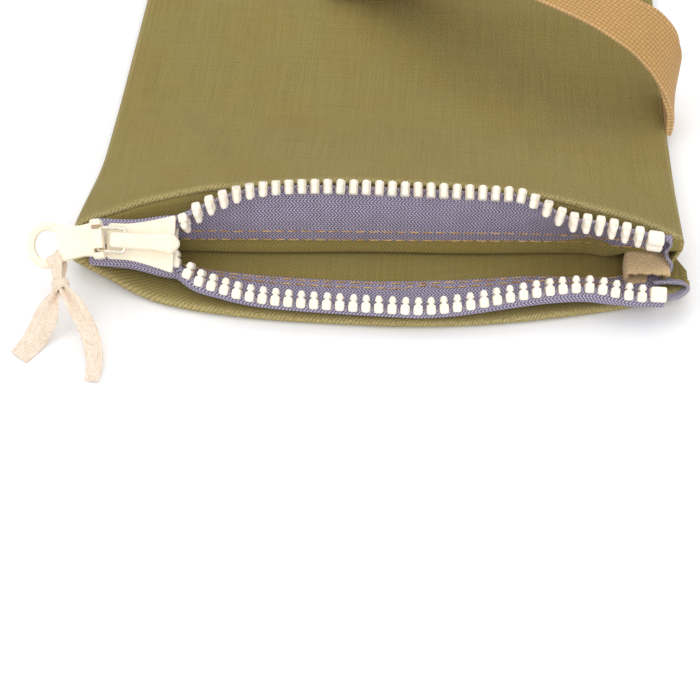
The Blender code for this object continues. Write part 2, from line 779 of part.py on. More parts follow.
def pull_ribbon():
    """Ribbon round the ring, knotted, with two tails lying on the table."""
    around = math.radians(-63.0)
    turn = tab_frame()
    ring = turn @ Vector((RING_CENTRE + 5.4 * math.cos(around), 6.2 * math.sin(around), 0.0))
    tangent = turn.to_3x3() @ Vector((-5.4 * math.sin(around), 6.2 * math.cos(around), 0.0))
    tangent.normalize()
    knot = ring + Vector((2.0, -7.0, -3.4))
    left_end = Vector((-113.0, -39.0, 0.8))
    right_end = Vector((-88.0, -47.0, 0.8))
    clear = RING_TUBE + 1.4
    away = (ring - knot - tangent * (ring - knot).dot(tangent)).normalized()
    upward = away.cross(tangent).normalized()
    loop = []
    for k in range(9):
        angle = math.radians(-110.0 + 220.0 * k / 8)
        loop.append(ring + away * (clear * math.cos(angle)) - upward * (clear * math.sin(angle)))
    first = bezier(left_end, left_end + Vector((7.0, 10.0, 0.6)), knot + Vector((-3.0, -9.0, -1.5)),
                   knot - upward * 0.9, 9)
    last = bezier(knot + upward * 0.9, knot + Vector((6.0, -8.0, 1.6)),
                  right_end + Vector((2.0, 14.0, 0.8)), right_end, 9)
    if (loop[0] - first[-1]).length > (loop[-1] - first[-1]).length:
        loop = loop[::-1]
    centres = first + loop + last
    halves = []
    for i in range(len(centres)):
        before = centres[max(0, i - 1)]
        after = centres[min(len(centres) - 1, i + 1)]
        along = (after - before).normalized()
        gathered = smooth(4.0, 8.0, i) * smooth(22.0, 18.0, i)
        side = Vector((1.0, 0.15, 0.0)).lerp(tangent, gathered)
        side = (side - along * side.dot(along)).normalized()
        halves.append(side * (RIBBON_WIDTH * (0.5 - 0.3 * gathered)))
    made = flat_ribbon("pull_ribbon", centres, halves, RIBBON_THICK, "linen", ring)
    bm = bmesh.new()
    place = Matrix.Translation(knot - ring) @ Matrix.Diagonal((4.4, 2.6, 2.4, 1.0))
    bmesh.ops.create_uvsphere(bm, u_segments=12, v_segments=8, radius=1.0, matrix=place)
    ball = bpy.data.meshes.new("knot")
    bm.to_mesh(ball)
    bm.free()
    band = cutter("ribbon_knot", ball)
    band.location = ring * MM
    boolean(made, band, "UNION")
    made.modifiers[-1].use_self = True
    return made


def strap_path():
    """Centre line and width directions of the outer run of the wrist loop."""
    root = Vector((HALF_WIDTH + 3.0, STRAP_Y + 0.5, 2.6))
    rising = bezier(root, root + Vector((2.0, 1.5, 13.4)), Vector((100.0, 89.0, 30.0)),
                    Vector((87.0, 92.0, 38.0)), 12)
    over = bezier(rising[-1], Vector((72.0, 95.5, 47.0)), Vector((40.0, 112.0, 50.0)),
                  Vector((18.0, 130.0, 34.0)), 11)
    landing = bezier(over[-1], Vector((2.0, 143.0, 22.0)), Vector((-8.0, 148.0, 15.4)),
                     Vector((-24.0, 153.0, 14.4)), 8)
    return rising + over[1:] + landing[1:]


def strap():
    """Wrist loop: both ends leave the side seam together, the closed end lies on the canvas."""
    outer = strap_path()
    count = len(outer)
    inner = []
    acrosses = []
    for i, point in enumerate(outer):
        before = outer[max(0, i - 1)]
        after = outer[min(count - 1, i + 1)]
        along = (after - before).normalized()
        share = i / (count - 1)
        side = Vector((smooth(0.0, 0.42, share) - 0.5 * smooth(0.5, 1.0, share), 1.0, 0.0))
        across = (side - along * side.dot(along)).normalized()
        acrosses.append(across)
        up = across.cross(along)
        inner.append(point - up * (STRAP_THICK + GAP + 1.8 * smooth(0.0, 1.0, share)))
    end = (outer[-1] + inner[-1]) / 2
    along = (outer[-1] - outer[-2]).normalized()
    radius = (outer[-1] - inner[-1]).length / 2
    up = (outer[-1] - inner[-1]).normalized()
    turn = []
    for k in range(1, 8):
        angle = math.pi * k / 8
        turn.append(end + up * (radius * math.cos(angle)) + along * (radius * math.sin(angle)))
    centres = outer + turn + inner[::-1]
    directions = acrosses + [acrosses[-1]] * len(turn) + acrosses[::-1]
    halves = [direction * (STRAP_WIDTH / 2) for direction in directions]
    hinge = Vector((HALF_WIDTH, STRAP_Y, 2.6))
    return flat_ribbon("wrist_strap", centres, halves, STRAP_THICK, "webbing", hinge)


def strap_bartack():
    """Dense stitching that anchors the strap's two ends inside the seam."""
    made = new_object("strap_bartack", box_mesh((97.4, 77.0, 2.4), (98.3, 95.0, 3.1)), "thread")
    rounding = made.modifiers.new("rounding", "BEVEL")
    rounding.width = 0.2 * MM
    rounding.segments = 1
    return made


# ---------------------------------------------------------------- assembly

back_panel()
front_panel()
side_binding("left_seam_binding", -1.0, 28.0)
side_binding("right_seam_binding", 1.0, 3.0)
closed_end()
tape("upper_tape", upper_tape_point)
tape("lower_tape", lower_tape_point)
tooth_row("upper_teeth", upper_row, FIRST_UPPER_X)
tooth_row("lower_teeth", lower_row, FIRST_UPPER_X + PITCH / 2)
top_stop("upper_top_stop", upper_row, FIRST_UPPER_X + PITCH * (TEETH - 1) + 5.2)
top_stop("lower_top_stop", lower_row, FIRST_UPPER_X + PITCH * (TEETH - 1) + 5.2 + PITCH / 2)
bottom_stop()
stitches("upper_stitch_edge", upper_tape_point, 0, -1.0)
stitches("upper_stitch_inner", upper_tape_point, 2, -1.0)
stitches("lower_stitch_edge", lower_tape_point, 0, 1.0)
stitches("lower_stitch_inner", lower_tape_point, 1, 1.0)
seam_thread("left_seam_thread", [Vector((-98.0, y, 3.0)) for y in spread(52.0, 184.0, 8)])
seam_thread("right_seam_thread", [Vector((98.0, y, 3.0)) for y in spread(100.0, 184.0, 6)])
seam_thread("end_seam_thread", [Vector((x, 185.6, 3.0)) for x in spread(-92.0, 92.0, 8)])
slider_body()
slider_cap()
lock_spring()
bail()
pull_tab()
pull_ribbon()
strap()
strap_bartack()
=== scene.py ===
import math
import random

import bmesh
import bpy
from mathutils import Matrix, Vector


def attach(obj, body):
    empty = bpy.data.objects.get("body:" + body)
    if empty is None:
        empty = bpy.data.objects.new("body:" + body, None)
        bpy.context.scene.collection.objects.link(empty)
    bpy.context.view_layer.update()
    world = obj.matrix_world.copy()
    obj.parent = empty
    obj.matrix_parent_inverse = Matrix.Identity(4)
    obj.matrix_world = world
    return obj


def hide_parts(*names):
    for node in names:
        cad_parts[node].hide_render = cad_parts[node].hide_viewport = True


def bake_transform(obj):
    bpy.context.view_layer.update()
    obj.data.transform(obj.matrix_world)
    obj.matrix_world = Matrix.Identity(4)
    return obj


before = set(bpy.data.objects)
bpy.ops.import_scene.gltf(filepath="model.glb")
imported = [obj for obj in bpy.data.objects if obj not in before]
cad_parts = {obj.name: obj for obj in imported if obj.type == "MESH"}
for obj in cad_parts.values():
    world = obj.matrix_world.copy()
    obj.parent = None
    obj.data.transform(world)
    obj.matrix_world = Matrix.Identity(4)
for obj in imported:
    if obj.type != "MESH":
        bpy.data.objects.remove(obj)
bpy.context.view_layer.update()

MM = 0.001
PI = math.pi

# ---------------------------------------------------------------- dimensions, in millimetres

# the pouch
HALF_WIDTH = 100.0
WALL_X = HALF_WIDTH - 0.6
DEPTH = 188.0
CANVAS = 1.0
LIP_REACH = 18.6
SIDE_HEIGHT = 5.6
CROWN_HEIGHT = 2.6
RAMP_LENGTH = 78.0
UPPER_LIP_LEFT = (9.0, 10.0)
UPPER_LIP_MIDDLE = (21.8, 27.5)
UPPER_LIP_RIGHT = (14.0, 15.5)
CURVED_FROM = 32.0  # ahead of this y the rows of canvas curve with the lip
CLOTH_FRAMES, CLOTH_PRESSURE, CLOTH_GROWTH = 20, 0.6, 0.008
CLOTH_CAP = 2.2

# the zip: rows of teeth, the line they close on, and how far each side opens
PITCH = 4.2
TEETH = 42
FIRST_UPPER_X = -89.2
CORD_INSET = 1.2
TAPE = 0.7
TAPE_COUNT = 15
STITCH, STITCH_GAP, THREAD = 3.7, 0.8, 0.26
ROW_OFFSET = 3.3
CHAIN_TILT = math.radians(37.0)
CHAIN = Vector((0.0, -0.5, 15.2))
ACROSS = Vector((0.0, math.cos(CHAIN_TILT), math.sin(CHAIN_TILT)))
FACING = Vector((0.0, -math.sin(CHAIN_TILT), math.cos(CHAIN_TILT)))
SWING = math.radians(88.0)
SWING_Y, SWING_Z = 15.5, 15.3
LOWER_DROP = Vector((0.0, -13.8, -5.4))

# the slider, its wire, the pull tab with its ring, and the ribbon
SLIDER_X = -77.5
PIVOT_X, PIVOT_N, BAR_X = -4.5, 7.0, -13.2
BAIL_HALF = 3.8
BAIL_WIRE = 0.62
RING_X, RING_Y = 5.4, 6.2
RIBBON = 0.45
TAB_YAW = math.radians(10.0)
RING_CENTRE = -16.6

# seam tape and strap
SEAM_TAPE_FRONT, SEAM_TAPE_SIDE = 1.5, 0.9
STRAP_WIDTH, STRAP_THICK, STRAP_Y = 20.0, 1.4, 86.0


def smooth(start, end, value):
    """0 before start, 1 after end, and an eased ramp between them."""
    t = min(1.0, max(0.0, (value - start) / (end - start)))
    return t * t * (3.0 - 2.0 * t)


def mix(a, b, t):
    return a + (b - a) * t


def spread(start, end, count):
    return [start + (end - start) * i / (count - 1) for i in range(count)]


def circle(sides):
    """Cosine and sine of angles spread round a circle."""
    angles = [2 * PI * k / sides for k in range(sides)]
    return [(math.cos(angle), math.sin(angle)) for angle in angles]


def bezier(a, b, c, d, count):
    points = []
    for t in spread(0.0, 1.0, count):
        s = 1.0 - t
        points.append(a * s ** 3 + b * (3 * s * s * t) + c * (3 * s * t * t) + d * t ** 3)
    return points


def distances(points):
    """The distance run along a line, at each of its points."""
    run = [0.0]
    for a, b in zip(points, points[1:]):
        run.append(run[-1] + (b - a).length)
    return run


def heading(points, i):
    """The direction of a line of points at point i."""
    return (points[min(len(points) - 1, i + 1)] - points[max(0, i - 1)]).normalized()


def squared(side, along):
    """The part of side that is square to along, at length 1."""
    return (side - along * side.dot(along)).normalized()


def axes_at(place, x_axis, y_axis, z_axis):
    turn = Matrix((x_axis, y_axis, z_axis)).transposed().to_4x4()
    return Matrix.Translation(place) @ turn


# ---------------------------------------------------------------- the pouch's own curves

def lower_lip_y(x):
    power = 4.0 if x < 0 else 1.7
    return -LIP_REACH * (1.0 - min(1.0, abs(x) / HALF_WIDTH) ** power)


def corner_lift(x, y):
    left = 4.6 * smooth(-70.0, -102.0, x)
    right = 2.6 * smooth(80.0, 100.0, x)
    return (left + right) * (1.0 - smooth(4.0, 46.0, y))


def lip_fullness(x):
    side = min(1.0, abs(x) / HALF_WIDTH)
    if x < 0:
        return (1.0 - side ** 2) ** 0.66
    return 1.0 - side ** 3.2


def upper_lip(x):
    full = lip_fullness(x)
    end = UPPER_LIP_LEFT if x < 0 else UPPER_LIP_RIGHT
    return tuple(mix(low, high, full) for low, high in zip(end, UPPER_LIP_MIDDLE))


def upper_hem_y(x):
    return mix(12.2 + 0.062 * x, 11.5, smooth(66.0, 92.0, x))


def right_end(x):
    return smooth(74.0, 86.0, x)


def hem_foot(x, height):
    """A height on the inner hem's foot, which is raised at both corners of the mouth."""
    return height + corner_lift(x, upper_hem_y(x)) + 6.6 * right_end(x)


def upper_open(x):
    rise = max(0.0, 1.0 - math.exp(-(x + 66.6) / 14.0))
    return rise * (1.0 - 0.42 * smooth(42.0, 64.0, x) - 0.26 * smooth(64.0, 98.0, x))


def lower_open(x):
    rise = max(0.0, 1.0 - math.exp(-(x + 65.5) / 11.0))
    return rise * (1.0 - 0.74 * smooth(10.0, 72.0, x) + 0.16 * smooth(66.0, 86.0, x))


def parting(x):
    inside = smooth(SLIDER_X - 6.0, SLIDER_X + 10.5, x)
    return 2.6 * inside * (1.0 - smooth(SLIDER_X + 12.0, SLIDER_X + 28.0, x))


def upper_row(x):
    angle = -SWING * upper_open(x)
    centre = Vector((x, SWING_Y, SWING_Z))
    closed = CHAIN + ACROSS * (ROW_OFFSET + parting(x)) + Vector((x, 0.0, 0.0))
    turn = Matrix.Rotation(angle, 3, "X")
    return centre + turn @ (closed - centre), turn @ -ACROSS


def lower_row(x):
    closed = CHAIN - ACROSS * (ROW_OFFSET + parting(x)) + Vector((x, 0.0, 0.0))
    return closed + LOWER_DROP * lower_open(x), ACROSS.copy()


def row_matrix(x, place):
    here, toward = place(x)
    along = (place(x + 0.5)[0] - place(x - 0.5)[0]).normalized()
    along = (along + Vector((1.0, 0.0, 0.0))).normalized()
    toward = squared(toward, along)
    return axes_at(here, along, toward, along.cross(toward))


def lower_tape_point(x, count):
    cord, toward = lower_row(x)
    share = lower_open(x)
    lip = lower_lip_y(x)
    edge_y = min(lip + 17.7 - smooth(20.0, -20.0, x) - 5.0 * smooth(45.0, 80.0, x),
                 upper_hem_y(x) - 3.4)
    edge = Vector((x, edge_y, 3.6 + corner_lift(x, edge_y)))
    base = cord - toward * (CORD_INSET * 0.4)
    turn_y = edge_y - (edge_y - max(lip, base.y)) * (0.75 + 0.25 * share)
    turn = Vector((x, turn_y, 3.7 + corner_lift(x, turn_y)))
    arrive = base - toward * (7.5 - 5.0 * share) - Vector((0.0, 0.0, 0.9 * share))
    return bezier(edge, turn, arrive, base, count)


def upper_tape_point(x, count):
    cord, toward = upper_row(x)
    share = upper_open(x)
    hem = upper_hem_y(x)
    edge = Vector((x, hem + 0.8 - 2.4 * right_end(x), 8.3 + 5.2 * right_end(x)))
    base = cord - toward * (CORD_INSET * 0.4)
    rise = (base - edge).length * 0.4
    arrive = base - toward * (8.0 * (1.0 - share)) + Vector((0.0, -0.9, -4.0)) * share
    return bezier(edge, edge + Vector((0.0, 0.0, rise)), arrive, base, count)


def flat_height(x, y):
    side = abs(x) / HALF_WIDTH
    crown = CROWN_HEIGHT * (1.0 - min(1.0, side) ** 4)
    return SIDE_HEIGHT - CANVAS / 2 + crown * smooth(DEPTH, DEPTH - 30.0, y)


def front_height(x, y):
    lip_y, lip_z = upper_lip(x)
    t = min(1.0, max(0.0, (y - lip_y) / RAMP_LENGTH))
    low = flat_height(x, y)
    return low + (lip_z - low) * (1.0 - t) ** 1.7


# ---------------------------------------------------------------- material nodes

class Graph:
    """A small wrapper that writes a material's node tree line by line."""

    def __init__(self, name, roughness, sheen=0.0, specular=0.4):
        self.material = bpy.data.materials.new(name)
        self.material.use_nodes = True
        self.tree = self.material.node_tree
        self.shader = self.tree.nodes["Principled BSDF"]
        self.shader.inputs["Roughness"].default_value = roughness
        self.shader.inputs["Sheen Weight"].default_value = sheen
        self.shader.inputs["Specular IOR Level"].default_value = specular

    def new(self, kind):
        return self.tree.nodes.new("ShaderNode" + kind)

    def put(self, socket, value):
        if isinstance(value, bpy.types.NodeSocket):
            self.tree.links.new(value, socket)
        else:
            socket.default_value = value

    def math(self, operation, a, b=0.0, c=0.0):
        node = self.new("Math")
        node.operation = operation
        for socket, value in zip(node.inputs, (a, b, c)):
            self.put(socket, value)
        return node.outputs[0]

    def uv(self):
        """Distances along the cloth, in millimetres."""
        node = self.new("UVMap")
        node.uv_map = "UVMap"
        return node.outputs[0]

    def place(self):
        """Position on the piece, in millimetres."""
        node = self.new("TexCoord")
        scaled = self.new("VectorMath")
        scaled.operation = "SCALE"
        self.put(scaled.inputs[0], node.outputs["Object"])
        scaled.inputs["Scale"].default_value = 1000.0
        return scaled.outputs[0]

    def split(self, vector):
        node = self.new("SeparateXYZ")
        self.put(node.inputs[0], vector)
        return node.outputs

    def stretched(self, vector, x, y, z=1.0):
        node = self.new("VectorMath")
        node.operation = "MULTIPLY"
        self.put(node.inputs[0], vector)
        node.inputs[1].default_value = (x, y, z)
        return node.outputs[0]

    def times(self, a, b):
        return self.math("MULTIPLY", a, b)

    def plus(self, a, b):
        return self.math("ADD", a, b)

    def total(self, start, *terms):
        """start plus each term's value times its share."""
        for value, share in terms:
            start = self.math("MULTIPLY_ADD", value, share, start)
        return start

    def noise(self, vector, scale, detail, roughness=0.55):
        node = self.new("TexNoise")
        self.put(node.inputs["Vector"], vector)
        node.inputs["Scale"].default_value = scale
        node.inputs["Detail"].default_value = detail
        node.inputs["Roughness"].default_value = roughness
        return node.outputs["Fac"]

    def sine(self, value, period):
        """A wave from 0 to 1."""
        turned = self.times(value, 2.0 * PI / period)
        return self.total(0.5, (self.math("SINE", turned), 0.5))

    def step(self, value, low, high):
        node = self.new("MapRange")
        node.interpolation_type = "SMOOTHSTEP"
        self.put(node.inputs["Value"], value)
        node.inputs["From Min"].default_value = low
        node.inputs["From Max"].default_value = high
        return node.outputs["Result"]

    def blend(self, share, a, b, kind="MIX"):
        node = self.new("Mix")
        node.data_type = "RGBA"
        node.blend_type = kind
        self.put(node.inputs["Factor"], share)
        for socket, value in ((node.inputs[6], a), (node.inputs[7], b)):
            self.put(socket, (*value, 1.0) if isinstance(value, tuple) else value)
        return node.outputs[2]

    def dim(self, colour, share):
        """The colour times a share."""
        grey = self.new("CombineColor")
        for socket in grey.inputs[:3]:
            self.put(socket, share)
        return self.blend(1.0, colour, grey.outputs[0], "MULTIPLY")

    def attribute(self, name):
        node = self.new("Attribute")
        node.attribute_name = name
        return node.outputs["Fac"]

    def finish(self, colour, height=None, distance=0.1, strength=1.0, roughness=None):
        self.put(self.shader.inputs["Base Color"], colour)
        if roughness is not None:
            self.put(self.shader.inputs["Roughness"], roughness)
        if height is not None:
            bump = self.new("Bump")
            bump.inputs["Strength"].default_value = strength
            bump.inputs["Distance"].default_value = distance * MM
            self.put(bump.inputs["Height"], height)
            self.put(self.shader.inputs["Normal"], bump.outputs[0])
        return self.material


def canvas_material(name, lean):
    """Olive cotton twill: diagonal ribs, uneven yarns both ways, dark slubs, pale worn folds."""
    g = Graph(name, 0.9, sheen=0.08, specular=0.15)
    uv = g.uv()
    u, v, _ = g.split(uv)
    wander = g.noise(uv, 0.5, 2.0)
    diagonal = g.total(g.times(u, 0.75), (v, -0.66 * lean))
    diagonal = g.plus(diagonal, g.times(wander, 0.5))
    rib = g.sine(diagonal, 0.95)
    yarn = g.sine(g.plus(u, g.times(wander, 0.3)), 0.46)
    grain = g.noise(g.stretched(uv, 2.6, 1.7), 1.0, 2.0, 0.7)
    warp = g.noise(g.stretched(uv, 1.3, 0.025), 1.0, 3.0, 0.7)
    weft = g.noise(g.stretched(uv, 0.02, 1.4), 1.0, 3.0, 0.7)
    patches = g.noise(uv, 0.035, 3.0)
    height = g.total(g.times(yarn, 0.2), (rib, 0.6), (grain, 0.5))
    tone = g.total(0.55, (rib, 0.34), (grain, 0.5), (warp, 0.42), (weft, 0.30), (patches, 0.22))
    tone = g.math("SUBTRACT", tone, 0.55)
    colour = g.blend(g.step(patches, 0.35, 0.65), (0.295, 0.222, 0.066), (0.275, 0.218, 0.070))
    slub = g.step(g.noise(g.stretched(uv, 0.16, 0.55), 1.0, 2.0, 0.5), 0.715, 0.78)
    colour = g.blend(g.times(slub, 0.6), colour, (0.11, 0.09, 0.035))
    worn = g.times(g.attribute("wear"), g.step(grain, 0.3, 0.62))
    colour = g.blend(g.times(worn, 0.7), colour, (0.60, 0.50, 0.25))
    colour = g.dim(colour, tone)
    rough = g.total(0.82, (grain, 0.12))
    return g.finish(colour, height, 0.16, 0.8, rough)


def tape_material():
    """Slate herringbone tape: light yarn over dark in short alternating diagonals."""
    g = Graph("slate_herringbone", 0.85, sheen=0.1, specular=0.2)
    uv = g.uv()
    u, v, _ = g.split(uv)
    chevron = g.math("PINGPONG", v, 1.7)
    phase = g.plus(u, g.times(chevron, 0.95))
    rib = g.sine(phase, 1.15)
    yarn = g.sine(v, 0.8)
    grain = g.noise(uv, 2.4, 2.0, 0.7)
    dot = g.times(rib, g.total(0.5, (yarn, 0.5)))
    dot = g.total(dot, (g.math("SUBTRACT", grain, 0.5), 0.7))
    patches = g.noise(uv, 0.12, 2.0)
    share = g.step(dot, 0.05, 0.85)
    colour = g.blend(share, (0.12, 0.10, 0.16), (0.52, 0.47, 0.59))
    colour = g.dim(colour, g.total(0.80, (patches, 0.4)))
    return g.finish(colour, dot, 0.12, 0.8)


def cord_material():
    """The woven bead between the teeth: whitish yarn flecked with the tape's slate."""
    g = Graph("zip_cord", 0.8, sheen=0.2, specular=0.2)
    place = g.place()
    x, y, _ = g.split(place)
    grain = g.noise(g.stretched(place, 0.9, 2.6, 2.6), 1.3, 3.0, 0.7)
    twist = g.sine(g.plus(x, g.times(y, 0.5)), 0.7)
    height = g.total(grain, (twist, 0.5))
    share = g.step(g.total(grain, (twist, 0.25)), 0.42, 0.78)
    colour = g.blend(share, (0.13, 0.11, 0.17), (0.46, 0.43, 0.50))
    return g.finish(colour, height, 0.2, 0.9)


def moulded_material(name, colour, shade, gloss):
    """Cream moulded plastic: slightly translucent, faint flow marks, scuffed shine."""
    g = Graph(name, gloss, specular=0.45)
    place = g.place()
    cloud = g.noise(place, 0.16, 3.0)
    scuff = g.noise(g.stretched(place, 0.5, 2.2, 2.2), 1.0, 4.0, 0.7)
    pits = g.noise(place, 1.6, 3.0, 0.6)
    tint = g.blend(g.step(cloud, 0.3, 0.75), colour, shade)
    tint = g.dim(tint, g.total(0.95, (pits, 0.08)))
    rough = g.total(gloss, (g.step(scuff, 0.45, 0.7), 0.22))
    height = g.total(pits, (scuff, 0.3))
    g.shader.inputs["Subsurface Weight"].default_value = 0.35
    g.shader.inputs["Subsurface Radius"].default_value = (1.0, 0.62, 0.35)
    g.shader.inputs["Subsurface Scale"].default_value = 1.3 * MM
    return g.finish(tint, height, 0.03, 0.5, rough)


def wire_material():
    """Nickel-plated wire, a little tarnished."""
    g = Graph("plated_wire", 0.28)
    place = g.place()
    stain = g.noise(place, 1.1, 4.0, 0.65)
    scratch = g.noise(g.stretched(place, 0.4, 5.0, 5.0), 1.0, 2.0)
    g.shader.inputs["Metallic"].default_value = 0.75
    colour = g.blend(g.step(stain, 0.35, 0.7), (0.86, 0.82, 0.72), (0.66, 0.58, 0.46))
    rough = g.total(0.18, (scratch, 0.25))
    return g.finish(colour, scratch, 0.02, 0.4, rough)


def webbing_material():
    """Tan cotton webbing in a tight basket weave."""
    g = Graph("tan_webbing", 0.9, sheen=0.12, specular=0.2)
    uv = g.uv()
    u, v, _ = g.split(uv)
    wander = g.noise(uv, 0.6, 2.0)
    across = g.plus(u, g.times(wander, 0.4))
    along = g.plus(v, g.times(wander, 0.4))
    cell = g.times(g.math("SINE", g.times(across, 2 * PI / 2.9)),
                   g.math("SINE", g.times(along, 2 * PI / 2.9)))
    over = g.math("ABSOLUTE", cell)
    rows = g.sine(along, 1.45)
    grain = g.noise(uv, 2.2, 3.0, 0.7)
    height = g.total(g.times(rows, 0.4), (over, 0.45), (grain, 0.5))
    patches = g.noise(uv, 0.09, 3.0)
    tone = g.total(0.46, (g.step(over, 0.0, 0.5), 0.46), (cell, 0.05), (grain, 0.3),
                   (patches, 0.26))
    colour = g.blend(g.step(patches, 0.35, 0.65), (0.50, 0.29, 0.105), (0.45, 0.26, 0.095))
    worn = g.times(g.attribute("wear"), 0.35)
    colour = g.dim(g.blend(worn, colour, (0.72, 0.52, 0.29)), tone)
    return g.finish(colour, height, 0.3, 0.9)


def binding_material():
    """Brushed tan seam tape with a woolly face."""
    g = Graph("tan_seam_tape", 0.95, sheen=0.35, specular=0.1)
    uv = g.uv()
    u, v, _ = g.split(uv)
    tuft = g.noise(g.stretched(uv, 0.8, 1.5), 1.5, 4.0, 0.75)
    weave = g.sine(g.plus(g.times(u, 0.7), v), 1.1)
    height = g.total(tuft, (weave, 0.3))
    colour = g.blend(g.step(tuft, 0.35, 0.68), (0.66, 0.42, 0.18), (0.98, 0.76, 0.46))
    return g.finish(colour, height, 0.5, 1.0)


def linen_material():
    """Unbleached linen ribbon with visible slubs."""
    g = Graph("linen_ribbon", 0.85, sheen=0.2, specular=0.2)
    uv = g.uv()
    u, v, _ = g.split(uv)
    along = g.noise(g.stretched(uv, 4.0, 0.35), 1.0, 3.0, 0.7)
    cross = g.noise(g.stretched(uv, 0.5, 3.6), 1.0, 3.0, 0.7)
    weave = g.times(g.sine(u, 0.5), g.sine(v, 0.55))
    height = g.plus(g.times(weave, 0.5), g.plus(along, cross))
    share = g.step(g.plus(along, cross), 0.75, 1.25)
    colour = g.blend(share, (0.70, 0.54, 0.40), (0.97, 0.85, 0.72))
    return g.finish(colour, height, 0.14, 0.8)


def thread_material():
    """Tan sewing thread with a twisted ply."""
    g = Graph("tan_thread", 0.6, sheen=0.2, specular=0.35)
    place = g.place()
    x, y, z = g.split(place)
    ply = g.sine(g.plus(x, g.plus(y, z)), 0.32)
    tone = g.noise(place, 0.35, 2.0)
    colour = g.blend(g.step(tone, 0.35, 0.65), (0.50, 0.27, 0.085), (0.86, 0.55, 0.24))
    colour = g.dim(colour, g.total(0.75, (ply, 0.3)))
    return g.finish(colour, ply, 0.08, 0.8)


CANVAS_LOOK = canvas_material("olive_twill", 1.0)
LINING_LOOK = canvas_material("olive_twill_folded", -1.0)
TAPE_LOOK = tape_material()
CORD_LOOK = cord_material()
TOOTH_LOOK = moulded_material("cream_teeth", (0.96, 0.88, 0.77), (0.93, 0.83, 0.70), 0.25)
ENAMEL_LOOK = moulded_material("cream_slider", (0.97, 0.88, 0.73), (0.95, 0.84, 0.67), 0.30)
WIRE_LOOK = wire_material()
WEBBING_LOOK = webbing_material()
BINDING_LOOK = binding_material()
LINEN_LOOK = linen_material()
THREAD_LOOK = thread_material()


# ---------------------------------------------------------------- mesh helpers

def add_object(name, mesh, look):
    mesh.transform(Matrix.Scale(MM, 4))
    made = bpy.data.objects.new(name, mesh)
    bpy.context.scene.collection.objects.link(made)
    mesh.materials.clear()
    mesh.materials.append(look)
    mesh.shade_smooth()
    return made


def grid(name, rows, look, keep=None, wear=None, uv=None):
    """A surface through rows of points, with distances along it as UV in millimetres."""
    count = len(rows[0])
    across = []
    for row in rows:
        run = distances(row)
        across.append([value - run[count // 2] for value in run])
    down = [[0.0] * count]
    for above, row in zip(rows, rows[1:]):
        down.append([run + (b - a).length for run, a, b in zip(down[-1], above, row)])
    mesh = bpy.data.meshes.new(name)
    faces = []
    for i in range(len(rows) - 1):
        for j in range(count - 1):
            if keep is None or keep(i, j):
                here, below = i * count + j, (i + 1) * count + j
                faces.append((here, here + 1, below + 1, below))
    mesh.from_pydata([tuple(point) for row in rows for point in row], [], faces)
    layer = mesh.uv_layers.new(name="UVMap")
    for loop in mesh.loops:
        i, j = divmod(loop.vertex_index, count)
        layer.data[loop.index].uv = uv(i, j) if uv else (across[i][j], -down[i][j])
    if wear:
        attribute = mesh.attributes.new("wear", "FLOAT", "POINT")
        attribute.data.foreach_set("value", [wear(i, j) for i in range(len(rows))
                                             for j in range(count)])
    clean(mesh)
    return add_object(name, mesh, look)


def clean(mesh):
    """Drop points that no face uses, and turn every face outward."""
    bm = bmesh.new()
    bm.from_mesh(mesh)
    bmesh.ops.delete(bm, geom=[v for v in bm.verts if not v.link_faces], context="VERTS")
    bmesh.ops.recalc_face_normals(bm, faces=bm.faces)
    bm.to_mesh(mesh)
    bm.free()


def thicken(made, thickness):
    """Give a sheet its thickness, half on each face, with softened edges."""
    step = made.modifiers.new("thickness", "SOLIDIFY")
    step.thickness = thickness * MM
    step.offset = 0.0
    step.use_even_offset = False
    soft = made.modifiers.new("soft_edge", "BEVEL")
    soft.width = thickness * 0.3 * MM
    soft.segments = 2
    soft.limit_method = "ANGLE"
    soft.angle_limit = math.radians(50.0)
    apply_modifiers(made)
    return made


def apply_modifiers(made):
    depsgraph = bpy.context.evaluated_depsgraph_get()
    mesh = bpy.data.meshes.new_from_object(made.evaluated_get(depsgraph))
    made.modifiers.clear()
    made.data = mesh
    mesh.shade_smooth()


def skin(rings, sides, looped=False):
    """Faces between rings of vertices; the last ring meets the first when looped."""
    faces = []
    for i in range(rings if looped else rings - 1):
        here, there = i * sides, (i + 1) % rings * sides
        for k in range(sides):
            m = (k + 1) % sides
            faces.append((here + k, here + m, there + m, there + k))
    return faces


def lids(rings, sides):
    """The two end faces of a run of rings."""
    return [tuple(range(sides))[::-1], tuple((rings - 1) * sides + k for k in range(sides))]


def tube(points, radius, sides):
    """Vertices and faces of a round tube through the points, with closed ends."""
    verts = []
    up = Vector((0.0, 0.0, 1.0))
    for i, point in enumerate(points):
        along = heading(points, i)
        side = along.cross(up)
        side = side.normalized() if side.length > 1e-3 else Vector((1.0, 0.0, 0.0))
        top = side.cross(along).normalized()
        r = radius(i) if callable(radius) else radius
        verts.extend(point + side * (r * c) + top * (r * s) for c, s in circle(sides))
    return verts, skin(len(points), sides) + lids(len(points), sides)


def mesh_from(name, groups):
    """One mesh from several (vertices, faces) groups."""
    verts, faces = [], []
    for points, polygons in groups:
        start = len(verts)
        verts.extend(tuple(p) for p in points)
        faces.extend(tuple(start + k for k in polygon) for polygon in polygons)
    mesh = bpy.data.meshes.new(name)
    mesh.from_pydata(verts, [], faces)
    clean(mesh)
    return mesh


def chain_frame(x):
    """Axes on the closed chain: along it, across it and out of its face."""
    return axes_at(CHAIN + Vector((x, 0.0, 0.0)), Vector((1.0, 0.0, 0.0)), ACROSS, FACING)


def take_over(made, node, body):
    """Show a piece in place of a CAD node, moving with a body."""
    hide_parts(node)
    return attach(made, body)


def moving_with(made, body, weights):
    """Bake a piece's placing into its mesh; the body and the weight for each vertex are not used.
    """
    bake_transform(made)
    return made


# ---------------------------------------------------------------- canvas

